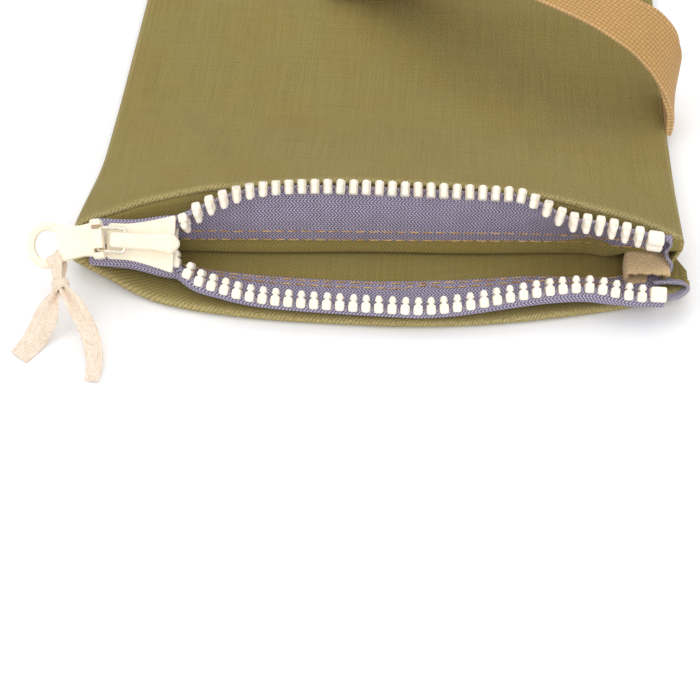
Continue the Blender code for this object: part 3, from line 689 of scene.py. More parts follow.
def ripple(x, y):
    """Soft unevenness of the lying canvas: puckers along the seams and slow swells."""
    seam = math.exp(-(HALF_WIDTH - abs(x)) / 7.0)
    pucker = 0.28 * math.sin(y * 0.55 + 1.3 * math.sin(y * 0.13)) * seam
    swell = 0.30 * math.sin(x * 0.052 + 0.9) * math.sin(y * 0.041 + x * 0.012 + 0.4)
    ridge = 0.45 * math.exp(-((x + 61.0 - 0.12 * y) / 9.0) ** 2) * smooth(120.0, 30.0, y)
    hollow = -0.6 * math.exp(-((x - 66.0 - 0.2 * y) / 10.0) ** 2) * smooth(70.0, 22.0, y)
    return pucker + swell * smooth(100.0, 84.0, abs(x)) + ridge + hollow


def settle(made, free):
    """Let the cloth find its own swells between the seams that hold it. A point may move by
    up to CLOTH_CAP, and free is each point's share of its own move."""
    mesh = made.data
    start = [v.co.copy() for v in mesh.vertices]
    held = made.vertex_groups.new(name="held")
    for v, share in zip(mesh.vertices, free):
        held.add([v.index], 1.0 if share < 0.02 else 0.0, "REPLACE")
    step = made.modifiers.new("cloth", "CLOTH")
    step.settings.quality = 6
    step.settings.mass = 0.15
    step.settings.vertex_group_mass = "held"
    step.settings.tension_stiffness = 12.0
    step.settings.compression_stiffness = 12.0
    step.settings.bending_stiffness = 0.25
    step.settings.shrink_min = -CLOTH_GROWTH
    step.settings.use_pressure = True
    step.settings.uniform_pressure_force = CLOTH_PRESSURE
    step.settings.effector_weights.gravity = 0.0
    step.point_cache.frame_start = 1
    step.point_cache.frame_end = CLOTH_FRAMES
    scene = bpy.context.scene
    for number in range(1, CLOTH_FRAMES + 1):
        scene.frame_set(number)
    result = made.evaluated_get(bpy.context.evaluated_depsgraph_get()).to_mesh()
    moved = [v.co.copy() for v in result.vertices]
    made.modifiers.clear()
    made.vertex_groups.clear()
    scene.frame_set(1)
    furthest = 0.0
    for v, before, after, share in zip(mesh.vertices, start, moved, free):
        shift = after - before
        length = shift.length
        furthest = max(furthest, length)
        if length > 0.0:
            limit = CLOTH_CAP * MM * math.tanh(length / (CLOTH_CAP * MM))
            v.co = before + shift * (share * limit / length)
    print("cloth moved at most %.2f mm before the cap" % (furthest / MM))


# shares of the side wall's height, and places across the panel, where points are put
WALL = [0.0, 0.28, 0.56, 0.8, 0.93]
FLAT_X = [-98.9, -98.0] + spread(-96.5, 96.5, 109) + [98.0, 98.9]


def flared(point):
    """The left corner of the mouth spreads a little beyond the side seam."""
    reach = 3.2 * smooth(88.0, 99.0, -point.x) * smooth(50.0, 8.0, point.y)
    return Vector((point.x - reach, point.y, point.z))


def front_canvas():
    """Front panel, from the closed end over the lip and down the hem inside it."""
    rows = []

    def side_points(side, y_of, low, top, tuck):
        points = []
        for f in WALL:
            bulge = 0.35 * math.sin(PI * f) - 5.4 * tuck * smooth(0.95, 0.25, f)
            inward = 0.5 * max(0.0, f - 0.8) / 0.13
            x = side * (WALL_X + bulge - inward * 0.4)
            points.append(Vector((x, y_of(f), mix(low, top, f))))
        return points

    def row_at(y_of_x, pull_of, end_drop=0.0):
        ends = []
        for side in (-1.0, 1.0):
            x = side * WALL_X
            y = y_of_x(x)
            top = front_height(x, y) - 0.15
            low = 1.7 + corner_lift(x, y)
            top = mix(top, low + 0.4, end_drop)
            pull = pull_of(x)
            tuck = smooth(2.0, 11.0, pull) if side > 0.0 else 0.0
            ends.append(side_points(side, lambda f: y - pull * (1.0 - f) ** 0.8,
                                    low + 1.0 * smooth(0.0, 8.0, pull), top, tuck))
        middle = []
        for x in FLAT_X:
            y = y_of_x(x)
            z = front_height(x, y) + ripple(x, y)
            round_off = 0.55 * smooth(97.2, 99.2, abs(x))
            z = mix(z - round_off, 2.1, end_drop)
            middle.append(Vector((x, y, z)))
        rows.append(ends[0] + middle + ends[1][::-1])

    for y, drop in ((187.6, 1.0), (188.0, 0.7), (187.9, 0.35), (187.3, 0.1), (186.0, 0.0)):
        row_at(lambda x: y, lambda x: 0.0, drop)
    for y in spread(183.0, CURVED_FROM, 62):
        row_at(lambda x: y, lambda x: 0.0)
    for t in spread(0.92, 0.0, 13):
        row_at(lambda x: mix(upper_lip(x)[0], CURVED_FROM, t),
               lambda x: (1.0 - t) * (upper_lip(x)[0] - 3.0))
    last_closed = len(rows) - 1
    side_count = len(WALL)

    def hem_row(place):
        columns = [-WALL_X] * side_count + FLAT_X + [WALL_X] * side_count
        rows.append([Vector((x, *place(x))) for x in columns])

    for angle in (60.0, 30.0, 0.0, -30.0):
        c, s = math.cos(math.radians(angle)), math.sin(math.radians(angle))
        hem_row(lambda x: (upper_lip(x)[0] - 0.1 - 0.9 * c, front_height(x, upper_lip(x)[0])
                           + ripple(x, upper_lip(x)[0]) - 0.9 + 0.9 * s))
    for down in (0.06, 0.12, 0.2, 0.3, 0.42, 0.55, 0.68, 0.78, 0.84, 0.9, 0.95, 1.0):
        def inner(x):
            lip_y, lip_z = upper_lip(x)
            hem = upper_hem_y(x)
            y = hem + (lip_y - 1.4 - hem) * (1.0 - down)
            fold = 0.35 * smooth(0.80, 0.84, down)
            sway = 0.25 * math.sin(x * 0.09 + 2.0) * down
            return y - fold + sway, mix(lip_z - 1.2, hem_foot(x, 4.4), down)
        hem_row(inner)
    hem_row(lambda x: (upper_hem_y(x) + 0.7, hem_foot(x, 4.2)))
    hem_row(lambda x: (upper_hem_y(x) + 1.0, hem_foot(x, 5.6)))
    rows = [[flared(point) for point in row] for row in rows]
    width = len(rows[0])

    def keep(row, column):
        return row < last_closed or side_count <= column < width - side_count - 1

    def wear(i, j):
        near_lip = math.exp(-((i - last_closed - 1.5) / 1.6) ** 2)
        side = 0.5 if j in (side_count - 1, side_count, width - side_count - 1) else 0.0
        return min(1.0, near_lip + side)

    made = grid("front_canvas", rows, CANVAS_LOOK, keep, wear)
    free = []
    for v in made.data.vertices:
        x, y = v.co.x / MM, v.co.y / MM
        lip_y = upper_lip(x)[0]
        top = v.co.z / MM > front_height(x, y) - 2.5
        away = smooth(98.0, 84.0, abs(x)) * smooth(186.0, 174.0, y)
        free.append(away * smooth(lip_y + 3.0, lip_y + 26.0, y) if top else 0.0)
    settle(made, free)
    thicken(made, CANVAS)
    return take_over(made, "front_panel", "pouch")


def back_canvas():
    """Back panel, with its lip folded up and back inside as a hem."""
    columns = [-99.6, -99.0, -98.0] + spread(-96.5, 96.5, 97) + [97.3, 98.0, 98.6, 99.1, 99.6]
    half = CANVAS / 2
    rows = []
    for y in spread(DEPTH, 16.0, 40):
        row = []
        for x in columns:
            edge = smooth(97.0, 99.6, abs(x))
            row.append(Vector((x, y, half + corner_lift(x, y) + 0.5 * edge)))
        rows.append(row)
    section = ((9.0, half), (5.0, half), (3.0, half), (1.8, 0.55), (1.0, 0.8), (0.6, 1.2),
               (0.5, 1.6), (0.62, 2.0), (1.0, 2.35), (1.7, 2.5), (3.0, 2.5), (5.0, 2.35),
               (8.0, 2.2), (12.0, 2.1), (18.0, 2.1), (26.0, 2.1), (36.0, 2.1))
    fold_row = len(rows) + 7
    for inset, height in section:
        row = []
        for x in columns:
            y = lower_lip_y(x) + inset
            lobe = smooth(93.0, 99.6, x) * smooth(30.0, 10.0, y)
            wave = 0.18 * math.sin(x * 0.16 + inset * 0.2) * smooth(0.0, 3.0, inset)
            rise = (0.25 * math.sin(x * 0.11 + 1.0) * smooth(6.0, 1.0, inset)
                    * smooth(0.6, 2.0, height))
            row.append(Vector((x + 2.4 * lobe, y, height + corner_lift(x, y) + wave * 0.5 + rise
                               + 2.2 * lobe ** 2)))
        rows.append(row)

    rows = [[flared(point) for point in row] for row in rows]

    def keep(row, column):
        return row < fold_row + 3 or 2 <= column < len(columns) - 5

    def wear(i, j):
        return math.exp(-((i - fold_row) / 2.4) ** 2)

    made = grid("back_canvas", rows, LINING_LOOK, keep, wear)
    thicken(made, CANVAS)
    return take_over(made, "back_panel", "pouch")


# ---------------------------------------------------------------- zip

def tape(name, node, section, body, openness, end):
    """A tape from its sewn edge to its cord; each point's share of movement, larger near the cord,
    is worked out but not used.
    """
    columns = spread(-95.0, -70.0, 14) + spread(-68.0, end, 96)
    rows = [section(x, TAPE_COUNT) for x in columns]
    lengths = []
    for line in rows:
        run = distances(line)
        lengths.append([value - run[-1] for value in run])
    made = grid(name, rows, TAPE_LOOK, uv=lambda i, j: (columns[i], lengths[i][j]))
    share = made.data.attributes.new("share", "FLOAT", "POINT")
    share.data.foreach_set("value", [openness(x) * smooth(0.0, 1.0, j / (TAPE_COUNT - 1))
                                     for x in columns for j in range(TAPE_COUNT)])
    thicken(made, TAPE)
    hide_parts(node)
    weights = [0.0] * len(made.data.vertices)
    made.data.attributes["share"].data.foreach_get("value", weights)
    made.data.attributes.remove(made.data.attributes["share"])
    return moving_with(made, body, weights)


def tooth_outline():
    """Plan of a tooth as (x, y): square body, short pinched neck, mushroom head."""
    right = [(0.70, -1.45), (1.16, -1.28), (1.42, -0.9), (1.5, 0.1), (1.46, 1.2), (1.36, 1.55),
             (1.05, 1.75), (0.74, 1.9), (0.68, 2.1), (0.82, 2.26), (1.1, 2.36), (1.24, 2.6),
             (1.16, 3.0), (1.04, 3.35), (0.97, 3.65), (0.82, 4.0), (0.48, 4.28)]
    return right + [(-x, y) for x, y in right[::-1]]


def tooth_mesh():
    """One tooth with rounded faces and a parting groove where the tape enters."""
    outline = tooth_outline()
    levels = ((-2.36, 0.44), (-2.26, 0.22), (-2.02, 0.07), (-1.6, 0.0), (-0.35, 0.0), (-0.12, 0.1),
              (0.12, 0.1), (0.35, 0.0), (1.6, 0.0), (2.02, 0.07), (2.26, 0.22), (2.36, 0.44))
    count = len(outline)
    verts, faces = [], skin(len(levels), count)
    for z, inset in levels:
        for k, (x, y) in enumerate(outline):
            before, after = outline[k - 1], outline[(k + 1) % count]
            dx, dy = after[0] - before[0], after[1] - before[1]
            length = math.hypot(dx, dy)
            amount = min(inset, abs(x) * 0.8) if abs(x) < 0.9 else inset
            verts.append(Vector((x - dy / length * amount, y + dx / length * amount, z)))
    half = count // 2
    for start in (0, (len(levels) - 1) * count):
        for k in range(half - 1):
            faces.append((start + k, start + k + 1, start + count - 2 - k, start + count - 1 - k))
    return verts, faces


def tooth_row(name, node, place, first_x, body, openness, jitter):
    verts, faces = tooth_mesh()
    groups, weights = [], []
    shake = random.Random(jitter)
    for i in range(TEETH):
        x = first_x + PITCH * i
        matrix = row_matrix(x, place)
        turn = Matrix.Rotation(math.radians(shake.uniform(-2.5, 2.5)), 4, "Z")
        lean = Matrix.Rotation(math.radians(shake.uniform(-3.0, 3.0)), 4, "Y")
        groups.append(([matrix @ turn @ lean @ v for v in verts], faces))
        weights.extend([openness(x)] * len(verts))
    made = add_object(name, mesh_from(name, groups), TOOTH_LOOK)
    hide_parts(node)
    return moving_with(made, body, weights)


def cord(name, place, body, openness):
    """The bead woven into the tape's edge, seen between the teeth."""
    xs = spread(-92.0, 90.5, 320)
    verts, weights, sides = [], [], 10
    for x in xs:
        matrix = row_matrix(x, place)
        for c, s in circle(sides):
            verts.append(matrix @ Vector((0.0, -0.2 + 0.8 * c, 0.6 * s)))
            weights.append(openness(x))
    faces = skin(len(xs), sides) + lids(len(xs), sides)
    made = add_object(name, mesh_from(name, [(verts, faces)]), CORD_LOOK)
    return moving_with(made, body, weights)


def rounded_block(half_x, low_y, high_y, half_z, radius):
    bm = bmesh.new()
    size = (2 * half_x, high_y - low_y, 2 * half_z, 1.0)
    place = Matrix.Translation((0.0, (low_y + high_y) / 2, 0.0)) @ Matrix.Diagonal(size)
    bmesh.ops.create_cube(bm, size=1.0, matrix=place)
    bmesh.ops.bevel(bm, geom=list(bm.edges), offset=radius, segments=4, profile=0.6,
                    affect="EDGES")
    verts = [v.co.copy() for v in bm.verts]
    faces = [tuple(v.index for v in f.verts) for f in bm.faces]
    bm.free()
    return verts, faces


def top_stop(name, node, place, x, body, openness):
    """The cream block at the open end of a row, with the groove of its two halves."""
    groups = []
    matrix = row_matrix(x, place)
    for side in (-1.0, 1.0):
        verts, faces = rounded_block(2.6, -1.2, 3.8, 1.42, 1.15)
        groups.append(([matrix @ (v + Vector((0.0, 0.0, side * 1.36))) for v in verts], faces))
    made = add_object(name, mesh_from(name, groups), TOOTH_LOOK)
    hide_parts(node)
    return moving_with(made, body, [openness(x)] * len(made.data.vertices))


def stitch_row(name, node, path, seed):
    """Separate stitches, each rising from its hole and sinking into the next one."""
    shake = random.Random(seed)
    run = distances([point for point, _ in path])

    def at(distance):
        for i in range(len(run) - 1):
            if run[i + 1] >= distance:
                t = (distance - run[i]) / (run[i + 1] - run[i])
                return path[i][0].lerp(path[i + 1][0], t), path[i][1].lerp(path[i + 1][1], t)
        return path[-1]

    groups = []
    start = 0.6
    while start + STITCH < run[-1]:
        size = STITCH * shake.uniform(0.92, 1.04)
        drift = shake.uniform(-0.12, 0.12)
        line = []
        for f in spread(0.0, 1.0, 9):
            point, out = at(start + size * f)
            sink = 1.0 - (2.0 * f - 1.0) ** 4
            along = Vector((1.0, 0.0, 0.0))
            side = out.cross(along).normalized()
            line.append(point + out * (0.34 * sink - 0.12) + side * (drift * (2 * f - 1)))
        groups.append(tube(line, lambda i: THREAD * (0.55 + 0.45 * math.sin(PI * i / 8.0)), 8))
        start += STITCH + STITCH_GAP
    made = add_object(name, mesh_from(name, groups), THREAD_LOOK)
    return take_over(made, node, "pouch")


def on_section(section, distance, xs, side):
    """Points and outward directions along a tape, at a distance from its sewn edge."""
    path = []
    for x in xs:
        line = section(x, 41)
        k, run = 0, 0.0
        while run < distance:
            run += (line[k + 1] - line[k]).length
            k += 1
        near, far = line[max(0, k - 1)], line[min(40, k + 1)]
        out = (far - near).normalized().cross(Vector((1.0, 0.0, 0.0))) * side
        path.append((line[k] + out * (TAPE / 2), out))
    return path


front_canvas()
back_canvas()
tape("upper_tape_cloth", "upper_tape", upper_tape_point, "upper_zip_side", upper_open, 94.0)
tape("lower_tape_cloth", "lower_tape", lower_tape_point, "lower_zip_side", lower_open, 92.6)
tooth_row("upper_teeth_moulded", "upper_teeth", upper_row, FIRST_UPPER_X, "upper_zip_side",
          upper_open, 3)
tooth_row("lower_teeth_moulded", "lower_teeth", lower_row, FIRST_UPPER_X + PITCH / 2,
          "lower_zip_side", lower_open, 8)
cord("upper_cord", upper_row, "upper_zip_side", upper_open)
cord("lower_cord", lower_row, "lower_zip_side", lower_open)
STOP_X = FIRST_UPPER_X + PITCH * (TEETH - 1) + 5.2
top_stop("upper_stop_block", "upper_top_stop", upper_row, STOP_X, "upper_zip_side", upper_open)
top_stop("lower_stop_block", "lower_top_stop", lower_row, STOP_X + PITCH / 2, "lower_zip_side",
         lower_open)
ALONG = spread(-90.0, 90.0, 61)
stitch_row("upper_tape_stitches", "upper_stitch_inner",
           on_section(upper_tape_point, 4.0, ALONG, -1.0), 5)
stitch_row("upper_hem_stitches", "upper_stitch_edge",
           on_section(upper_tape_point, 0.4, ALONG, -1.0), 6)
stitch_row("lower_tape_stitches", "lower_stitch_inner",
           on_section(lower_tape_point, 2.4, ALONG, 1.0), 7)
stitch_row("lower_hem_stitches", "lower_stitch_edge",
           on_section(lower_tape_point, 0.3, ALONG, 1.0), 9)

# ---------------------------------------------------------------- slider and pull

def cast(made, voxel, smooth_steps):
    """Fuse a moulded piece and soften its edges, as a casting's edges are soft."""
    remesh = made.modifiers.new("fuse", "REMESH")
    remesh.mode = "VOXEL"
    remesh.voxel_size = voxel * MM
    soften = made.modifiers.new("soften", "SMOOTH")
    soften.factor = 0.5
    soften.iterations = smooth_steps
    apply_modifiers(made)
    return made


def copy_node(node, name, look):
    """A separate mesh with the shape of a CAD node."""
    made = bpy.data.objects.new(name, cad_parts[node].data.copy())
    bpy.context.scene.collection.objects.link(made)
    made.matrix_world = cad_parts[node].matrix_world.copy()
    made.data.materials.clear()
    made.data.materials.append(look)
    return made


def loft(rows):
    """Closed body through rings of points."""
    count = len(rows[0])
    verts = [point for row in rows for point in row]
    return verts, skin(len(rows), count) + lids(len(rows), count)


def slider_body():
    made = copy_node("slider_body", "slider_casting", ENAMEL_LOOK)
    cast(made, 0.18, 4)
    return take_over(made, "slider_body", "slider")


def slider_cap():
    """Rounded cap that swells into a beak over the flared end."""
    matrix = chain_frame(SLIDER_X)
    stations = ((-9.5, 1.5, 6.9, 4.3), (-9.3, 2.0, 7.9, 4.3), (-8.9, 2.3, 8.5, 4.3),
                (-8.2, 2.5, 8.8, 4.3), (-4.0, 2.55, 8.95, 4.3), (2.0, 2.55, 8.9, 4.3),
                (5.5, 2.6, 8.8, 4.3), (7.6, 2.85, 8.6, 4.2), (9.2, 3.3, 8.3, 4.0),
                (10.4, 3.35, 7.9, 3.7), (11.3, 2.9, 7.4, 3.5), (12.1, 2.1, 6.9, 3.6),
                (12.8, 1.2, 6.3, 4.0), (13.1, 0.5, 5.9, 4.6))
    rows = []
    for x, half, top, base in stations:
        row = []
        for c, s in circle(24):
            y = half * math.copysign(abs(c) ** 0.62, c)
            z = (top + base) / 2 + (top - base) / 2 * math.copysign(abs(s) ** 0.5, s)
            row.append(matrix @ Vector((x, y, z)))
        rows.append(row)
    made = add_object("slider_cap_casting", mesh_from("cap", [loft(rows)]), ENAMEL_LOOK)
    cast(made, 0.18, 5)
    return take_over(made, "slider_cap", "slider")


def bail():
    """Wire loop from the cap's pivot to the bar inside the tab."""
    matrix = chain_frame(SLIDER_X) @ Matrix.Translation((PIVOT_X, 0.0, PIVOT_N))
    reach = BAR_X - PIVOT_X
    corner = 1.2
    points = []
    for cx, cy, start in ((-corner, BAIL_HALF - corner, 90), (-corner, corner - BAIL_HALF, 0),
                          (reach + corner, corner - BAIL_HALF, -90),
                          (reach + corner, BAIL_HALF - corner, -180)):
        for k in range(9):
            angle = math.radians(start - 11.25 * k)
            x, y = cx + corner * math.cos(angle), cy + corner * math.sin(angle)
            points.append(Vector((x, y, 0.0)))
    sides = 14
    verts = []
    total = len(points)
    for i, point in enumerate(points):
        along = (points[(i + 1) % total] - points[i - 1]).normalized()
        side = along.cross(Vector((0.0, 0.0, 1.0)))
        for c, s in circle(sides):
            offset = side * (BAIL_WIRE * c) + Vector((0.0, 0.0, BAIL_WIRE * s))
            verts.append(matrix @ (point + offset))
    faces = skin(total, sides, looped=True)
    made = add_object("bail_wire", mesh_from("bail", [(verts, faces)]), WIRE_LOOK)
    return take_over(made, "bail", "bail")


def tab_frame():
    turn = Matrix.Rotation(TAB_YAW, 4, "Z")
    return chain_frame(SLIDER_X) @ Matrix.Translation((BAR_X, 0.0, PIVOT_N)) @ turn


def pull_tab():
    """The CAD's grip with its wire slots narrowed and its edges softened."""
    made = copy_node("pull_tab", "pull_tab_casting", ENAMEL_LOOK)
    gaps = ((-3.1, -1.7), (1.7, 3.1), (-5.6, -4.5), (4.5, 5.6))
    block = mesh_from("collar_fill", [rounded_block(1.6, *gap, 2.3, 0.2) for gap in gaps])
    block.transform(tab_frame())
    block.transform(Matrix.Scale(MM, 4))
    bm = bmesh.new()
    bm.from_mesh(made.data)
    bm.from_mesh(block)
    bm.to_mesh(made.data)
    bm.free()
    cast(made, 0.16, 3)
    return take_over(made, "pull_tab", "pull")


# ---------------------------------------------------------------- ribbon, strap, seam tape

def band(name, centres, sides, width, look, thickness, bulge, columns, wear=None):
    """A flat band along a path, with UV across and along it."""
    rows = []
    for i, (centre, side) in enumerate(zip(centres, sides)):
        up = side.cross(heading(centres, i))
        w = width(i) if callable(width) else width
        rows.append([centre + side * (k * w / 2) + up * bulge(i, k)
                     for k in spread(-1.0, 1.0, columns)])
    made = grid(name, rows, look, wear=wear)
    return thicken(made, thickness)


def pull_ribbon():
    """Linen ribbon through the tab's ring: two loops, a wrapped knot and two pleated tails."""
    around = math.radians(-63.0)
    turn = tab_frame()
    c, s = math.cos(around), math.sin(around)
    ring = turn @ Vector((RING_CENTRE + RING_X * c, RING_Y * s, 0.0))
    tangent = turn.to_3x3() @ Vector((-RING_X * s, RING_Y * c, 0.0))
    tangent.normalize()
    knot = ring + Vector((2.0, -7.0, -3.4))
    left_end, right_tip = Vector((-113.0, -39.0, 0.9)), Vector((-88.0, -47.0, 0.9))
    away = squared(ring - knot, tangent)
    upward = away.cross(tangent).normalized()
    x_axis = Vector((1.0, 0.15, 0.0))
    parts = []

    def strip(name, centres, side, width, pleat):
        sides = [squared(side, heading(centres, i)) for i in range(len(centres))]
        parts.append(band(name, centres, sides, width, LINEN_LOOK, RIBBON, pleat, 13))

    n = 30
    first = bezier(knot + Vector((-0.6, -1.0, -0.9)), knot + Vector((-3.0, -9.0, -1.5)),
                   left_end + Vector((7.0, 10.0, 0.6)), left_end, n)
    strip("ribbon_tail_left", first, x_axis,
          lambda i: 3.2 + 4.6 * smooth(0, 14, i) - 1.0 * smooth(18, 29, i),
          lambda i, k: (0.75 * (1 - smooth(3, 24, i)) * math.sin(k * 5.0 + 0.4)
                        + 0.28 * math.sin(k * 3.4 + i * 0.22) + 0.5 * abs(k) * smooth(4, 20, i)))
    last = bezier(knot + Vector((0.8, -0.8, 0.4)), knot + Vector((6.0, -8.0, 1.2)),
                  right_tip + Vector((2.0, 14.0, 1.4)), right_tip, n)
    strip("ribbon_tail_right", last, x_axis + Vector((0.0, 0.25, 0.25)),
          lambda i: 2.8 + 2.9 * smooth(0, 10, i) - 1.2 * smooth(18, 29, i),
          lambda i, k: (0.8 * (1 - smooth(2, 26, i)) * math.sin(k * 4.2 + 2.0)
                        + 0.3 * math.sin(k * 2.6 + i * 0.3) + 0.7 * max(0.0, k) * smooth(2, 18, i)))

    clear = 1.55 + 1.0
    for name, sign, base in (("ribbon_loop_top", 1.0, 3.0), ("ribbon_loop_under", -1.0, 2.6)):
        arc = []
        for k in range(9):
            angle = math.radians(90.0 * k / 8 + 4.0) * sign
            arc.append(ring + away * (clear * math.cos(angle)) + upward * (clear * math.sin(angle)))
        end = arc[-1]
        run = bezier(end, end - away * 2.5, knot + upward * (1.3 * sign) + away * 2.2,
                     knot + upward * (0.9 * sign), 9)[1:]
        centres = arc + run
        strip(name, centres, tangent, lambda i: base + 1.9 - 1.6 * smooth(6, 15, i),
              lambda i, k: 0.16 * math.sin(k * 4.4 + 1.0) + 0.1 * math.sin(i * 0.7 + k * 2.0))

    rows = []
    for i in range(25):
        angle = 2 * PI * i / 24
        c, s = math.cos(angle), math.sin(angle)
        row = []
        for k in spread(-1.0, 1.0, 11):
            belly = 1.0 - 0.25 * k * k + 0.06 * math.sin(k * 6.0 + 2.0 * angle)
            row.append(knot + away * (k * 1.7 + 0.25 * math.sin(angle * 2.0))
                       + tangent * (2.75 * c * belly) + upward * (2.1 * s * belly))
        rows.append(row)
    wrap = grid("ribbon_knot", rows, LINEN_LOOK)
    thicken(wrap, 0.5)
    parts.append(wrap)
    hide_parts("pull_ribbon")
    for made in parts:
        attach(made, "ribbon")


def strap_path():
    """The strap's outer run: up from the side seam, over, and down on to the pouch."""
    root = Vector((HALF_WIDTH + 1.5, STRAP_Y + 0.5, 2.6))
    rising = bezier(root, root + Vector((2.0, 1.5, 13.4)), Vector((100.0, 89.0, 30.0)),
                    Vector((87.0, 92.0, 38.0)), 26)
    over = bezier(rising[-1], Vector((72.0, 95.5, 47.0)), Vector((40.0, 112.0, 50.0)),
                  Vector((18.0, 130.0, 34.0)), 26)
    landing = bezier(over[-1], Vector((2.0, 143.0, 22.0)), Vector((-8.0, 148.0, 15.4)),
                     Vector((-24.0, 153.0, 14.4)), 18)
    return rising + over[1:] + landing[1:]


def strap():
    """Webbing wrist loop: the outer run, a turn at its end and the inner run back."""
    outer = strap_path()
    count = len(outer)
    inner, acrosses = [], []
    for i, point in enumerate(outer):
        along = heading(outer, i)
        share = i / (count - 1)
        side = Vector((smooth(0.0, 0.42, share) - 0.5 * smooth(0.5, 1.0, share), 1.0, 0.0))
        across = squared(side, along)
        acrosses.append(across)
        up = across.cross(along)
        inner.append(point - up * (STRAP_THICK + 0.05 + 2.15 * smooth(0.2, 1.0, share))
                     + across * (2.4 * smooth(0.1, 0.3, share)))
    end = (outer[-1] + inner[-1]) / 2
    along = (outer[-1] - outer[-2]).normalized()
    radius = (outer[-1] - inner[-1]).length / 2
    up = (outer[-1] - inner[-1]).normalized()
    turn = []
    for k in range(1, 12):
        angle = PI * k / 12
        turn.append(end + up * (radius * math.cos(angle)) + along * (radius * math.sin(angle)))
    centres = outer + turn + inner[::-1]
    directions = acrosses + [acrosses[-1]] * len(turn) + acrosses[::-1]

    def edge(i, k):
        ripple_edge = 0.12 * math.sin(i * 0.9 + 2.0 * k) * abs(k) ** 3
        return ripple_edge - 0.25 * abs(k) ** 8

    made = band("wrist_strap_webbing", centres, directions, STRAP_WIDTH, WEBBING_LOOK,
                STRAP_THICK, edge, 21, wear=lambda i, j: 1.0 if j in (0, 20) else 0.0)
    return take_over(made, "wrist_strap", "wrist_loop")


def seam_tape(name, node, side, start_y, front=False):
    """Folded tape round a seam allowance; the front end of the right one shows at the mouth."""
    rows = []
    for y in spread(start_y, 172.0, 60):
        near = smooth(26.0, 8.0, y) if front else 0.0
        lift = 4.4 * (1.0 - smooth(20.0, 46.0, y)) + corner_lift(side * 90.0, y) * 0.9 - 1.6 * near
        fold, open_x = 85.0 - 3.6 * near, 96.6 - 1.0 * near
        spread_z = 1.0 + 1.35 * near
        wave = 0.25 * math.sin(y * 0.8) + 0.15 * math.sin(y * 1.9)
        mid = 2.8
        section = []
        for k in spread(0.0, 1.0, 8):
            section.append((mix(open_x, fold + 1.2, k), mid - spread_z))
        for k in range(1, 7):
            angle = -PI / 2 - PI * k / 7
            section.append((fold + 1.2 + 1.2 * math.cos(angle), mid + spread_z * math.sin(angle)))
        for k in spread(0.0, 1.0, 10):
            z = mid + spread_z + 0.5 * near * math.sin(PI * k)
            section.append((mix(fold + 1.2, open_x, k), z))
        row = [Vector((side * x, y + 0.35 * math.sin(x * 1.7) * near, z + lift + 0.2 * wave))
               for x, z in section]
        rows.append(row)
    made = grid(name, rows, BINDING_LOOK)
    thicken(made, SEAM_TAPE_FRONT if front else SEAM_TAPE_SIDE)
    return take_over(made, node, "pouch")


def tape_tail(name, points, weights, body):
    """The cut end of a zip tape, standing on its edge where it turns into the seam."""
    points = [Vector(point) for point in points]
    centres = []
    for a, b in zip(points, points[1:]):
        centres.extend(a.lerp(b, t) for t in spread(0.0, 0.85, 7))
    centres.append(points[-1])
    for _ in range(14):
        middle = [(centres[i - 1] + centres[i] * 2 + centres[i + 1]) / 4
                  for i in range(1, len(centres) - 1)]
        centres = [centres[0]] + middle + [centres[-1]]
    inward = Vector((0.0, 0.80, -0.60))
    rows = [[centre + inward * d for d in spread(0.0, 6.0, 7)] for centre in centres]
    made = grid(name, rows, TAPE_LOOK)
    thicken(made, 0.8)
    last = len(centres) - 1
    shares = [mix(*weights, smooth(0.0, 1.0, i / last)) for i in range(len(centres))]
    values = []
    for v in made.data.vertices:
        nearest = min(range(len(centres)), key=lambda i: (centres[i] * MM - v.co).length)
        values.append(shares[nearest])
    moving_with(made, body, values)
    verts, faces = tube([c - inward * 0.1 for c in centres], 0.62, 8)
    bead = add_object(name + "_bead", mesh_from(name, [(verts, faces)]), CORD_LOOK)
    moving_with(bead, body, [share for share in shares for _ in range(8)])


tape_tail("upper_tape_tail",
          ((91.5, 6.0, 23.5), (95.0, 7.5, 20.0), (92.5, 8.0, 14.0), (96.5, 7.0, 10.3),
           (95.5, 5.5, 8.4)), (upper_open(90.0), 0.0), "upper_zip_side")
tape_tail("lower_tape_tail",
          ((93.5, -8.6, 10.6), (97.5, -7.0, 9.8), (101.5, -2.5, 9.2), (100.5, 0.5, 8.6),
           (94.0, 1.2, 8.0), (90.0, 0.8, 7.6)), (lower_open(90.0), 0.0), "lower_zip_side")
slider_body()
slider_cap()
bail()
pull_tab()
pull_ribbon()
strap()
seam_tape("left_seam_tape", "left_seam_binding", -1.0, 28.0)
seam_tape("right_seam_tape", "right_seam_binding", 1.0, 3.0, front=True)

for node, look in (("left_seam_thread", THREAD_LOOK), ("right_seam_thread", THREAD_LOOK),
                   ("end_seam_thread", THREAD_LOOK), ("strap_bartack", THREAD_LOOK),
                   ("end_seam_binding", BINDING_LOOK), ("lock_spring", WIRE_LOOK),
                   ("bottom_stop", TOOTH_LOOK)):
    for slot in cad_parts[node].material_slots:
        slot.material = look


# ---------------------------------------------------------------- floor, light, camera

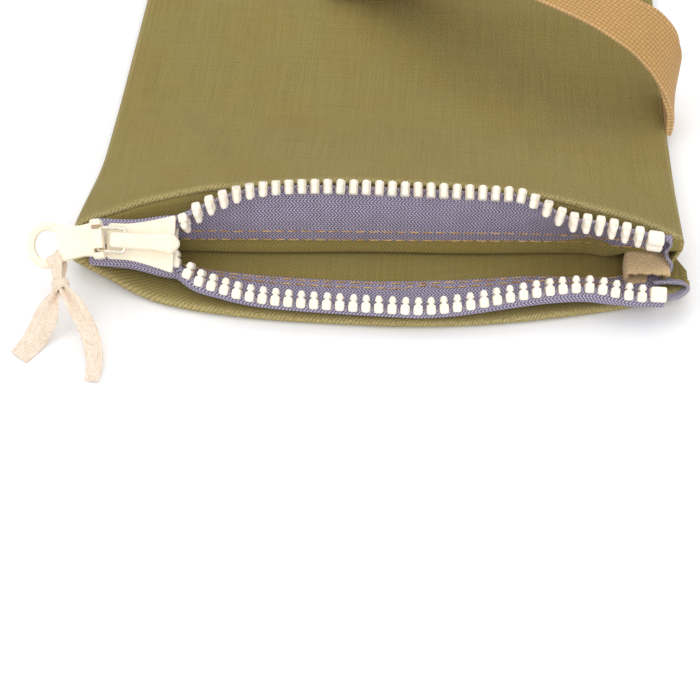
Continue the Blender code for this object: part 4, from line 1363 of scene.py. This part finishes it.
# metres, watts and degrees
LIGHTS = (("key", (0.05, 0.50, 1.15), 1.7, 7.8),
          ("fill_left", (-0.75, -0.35, 0.75), 0.9, 2.6),
          ("fill_front", (0.30, -0.85, 0.75), 1.0, 4.6))
LIGHT_AIM = (0.0, 0.03, 0.0)
SKY = 0.66
TABLE_HALF, TABLE_DROP = 3.0, 0.0003
CAMERA_PLACE = (0.01263, -0.31012, 0.35078)
CAMERA_TURN = (38.864, 0.0, 4.063)
LENS, SENSOR = 72.0, 36.0


def stage():
    """The pale table, soft studio light and the photograph's camera."""
    g = Graph("pale_table", 0.6, specular=0.1)
    place = g.place()
    cloud = g.noise(place, 0.004, 2.0)
    g.finish(g.dim((0.96, 0.96, 0.965), g.total(0.985, (cloud, 0.02))))
    mesh = bpy.data.meshes.new("table")
    corners = ((-1, -1), (1, -1), (1, 1), (-1, 1))
    mesh.from_pydata([(x * TABLE_HALF, y * TABLE_HALF, 0.0) for x, y in corners], [],
                     [(0, 1, 2, 3)])
    mesh.materials.append(g.material)
    table = bpy.data.objects.new("table", mesh)
    bpy.context.scene.collection.objects.link(table)
    table.location.z = -TABLE_DROP

    world = bpy.data.worlds.new("studio")
    world.use_nodes = True
    sky = world.node_tree.nodes["Background"]
    sky.inputs["Color"].default_value = (1.0, 1.0, 1.0, 1.0)
    sky.inputs["Strength"].default_value = SKY
    bpy.context.scene.world = world

    for name, where, size, power in LIGHTS:
        lamp = bpy.data.lights.new(name, "AREA")
        lamp.energy = power
        lamp.size = size
        light = bpy.data.objects.new(name, lamp)
        light.location = where
        aim = Vector(LIGHT_AIM) - Vector(where)
        light.rotation_euler = aim.to_track_quat("-Z", "Y").to_euler()
        bpy.context.scene.collection.objects.link(light)

    data = bpy.data.cameras.new("camera")
    data.sensor_width = SENSOR
    data.lens = LENS
    data.clip_start = 0.01
    camera = bpy.data.objects.new("camera", data)
    camera.location = CAMERA_PLACE
    camera.rotation_euler = [math.radians(angle) for angle in CAMERA_TURN]
    bpy.context.scene.collection.objects.link(camera)
    bpy.context.scene.camera = camera
    bpy.context.scene.view_settings.view_transform = "Standard"


stage()
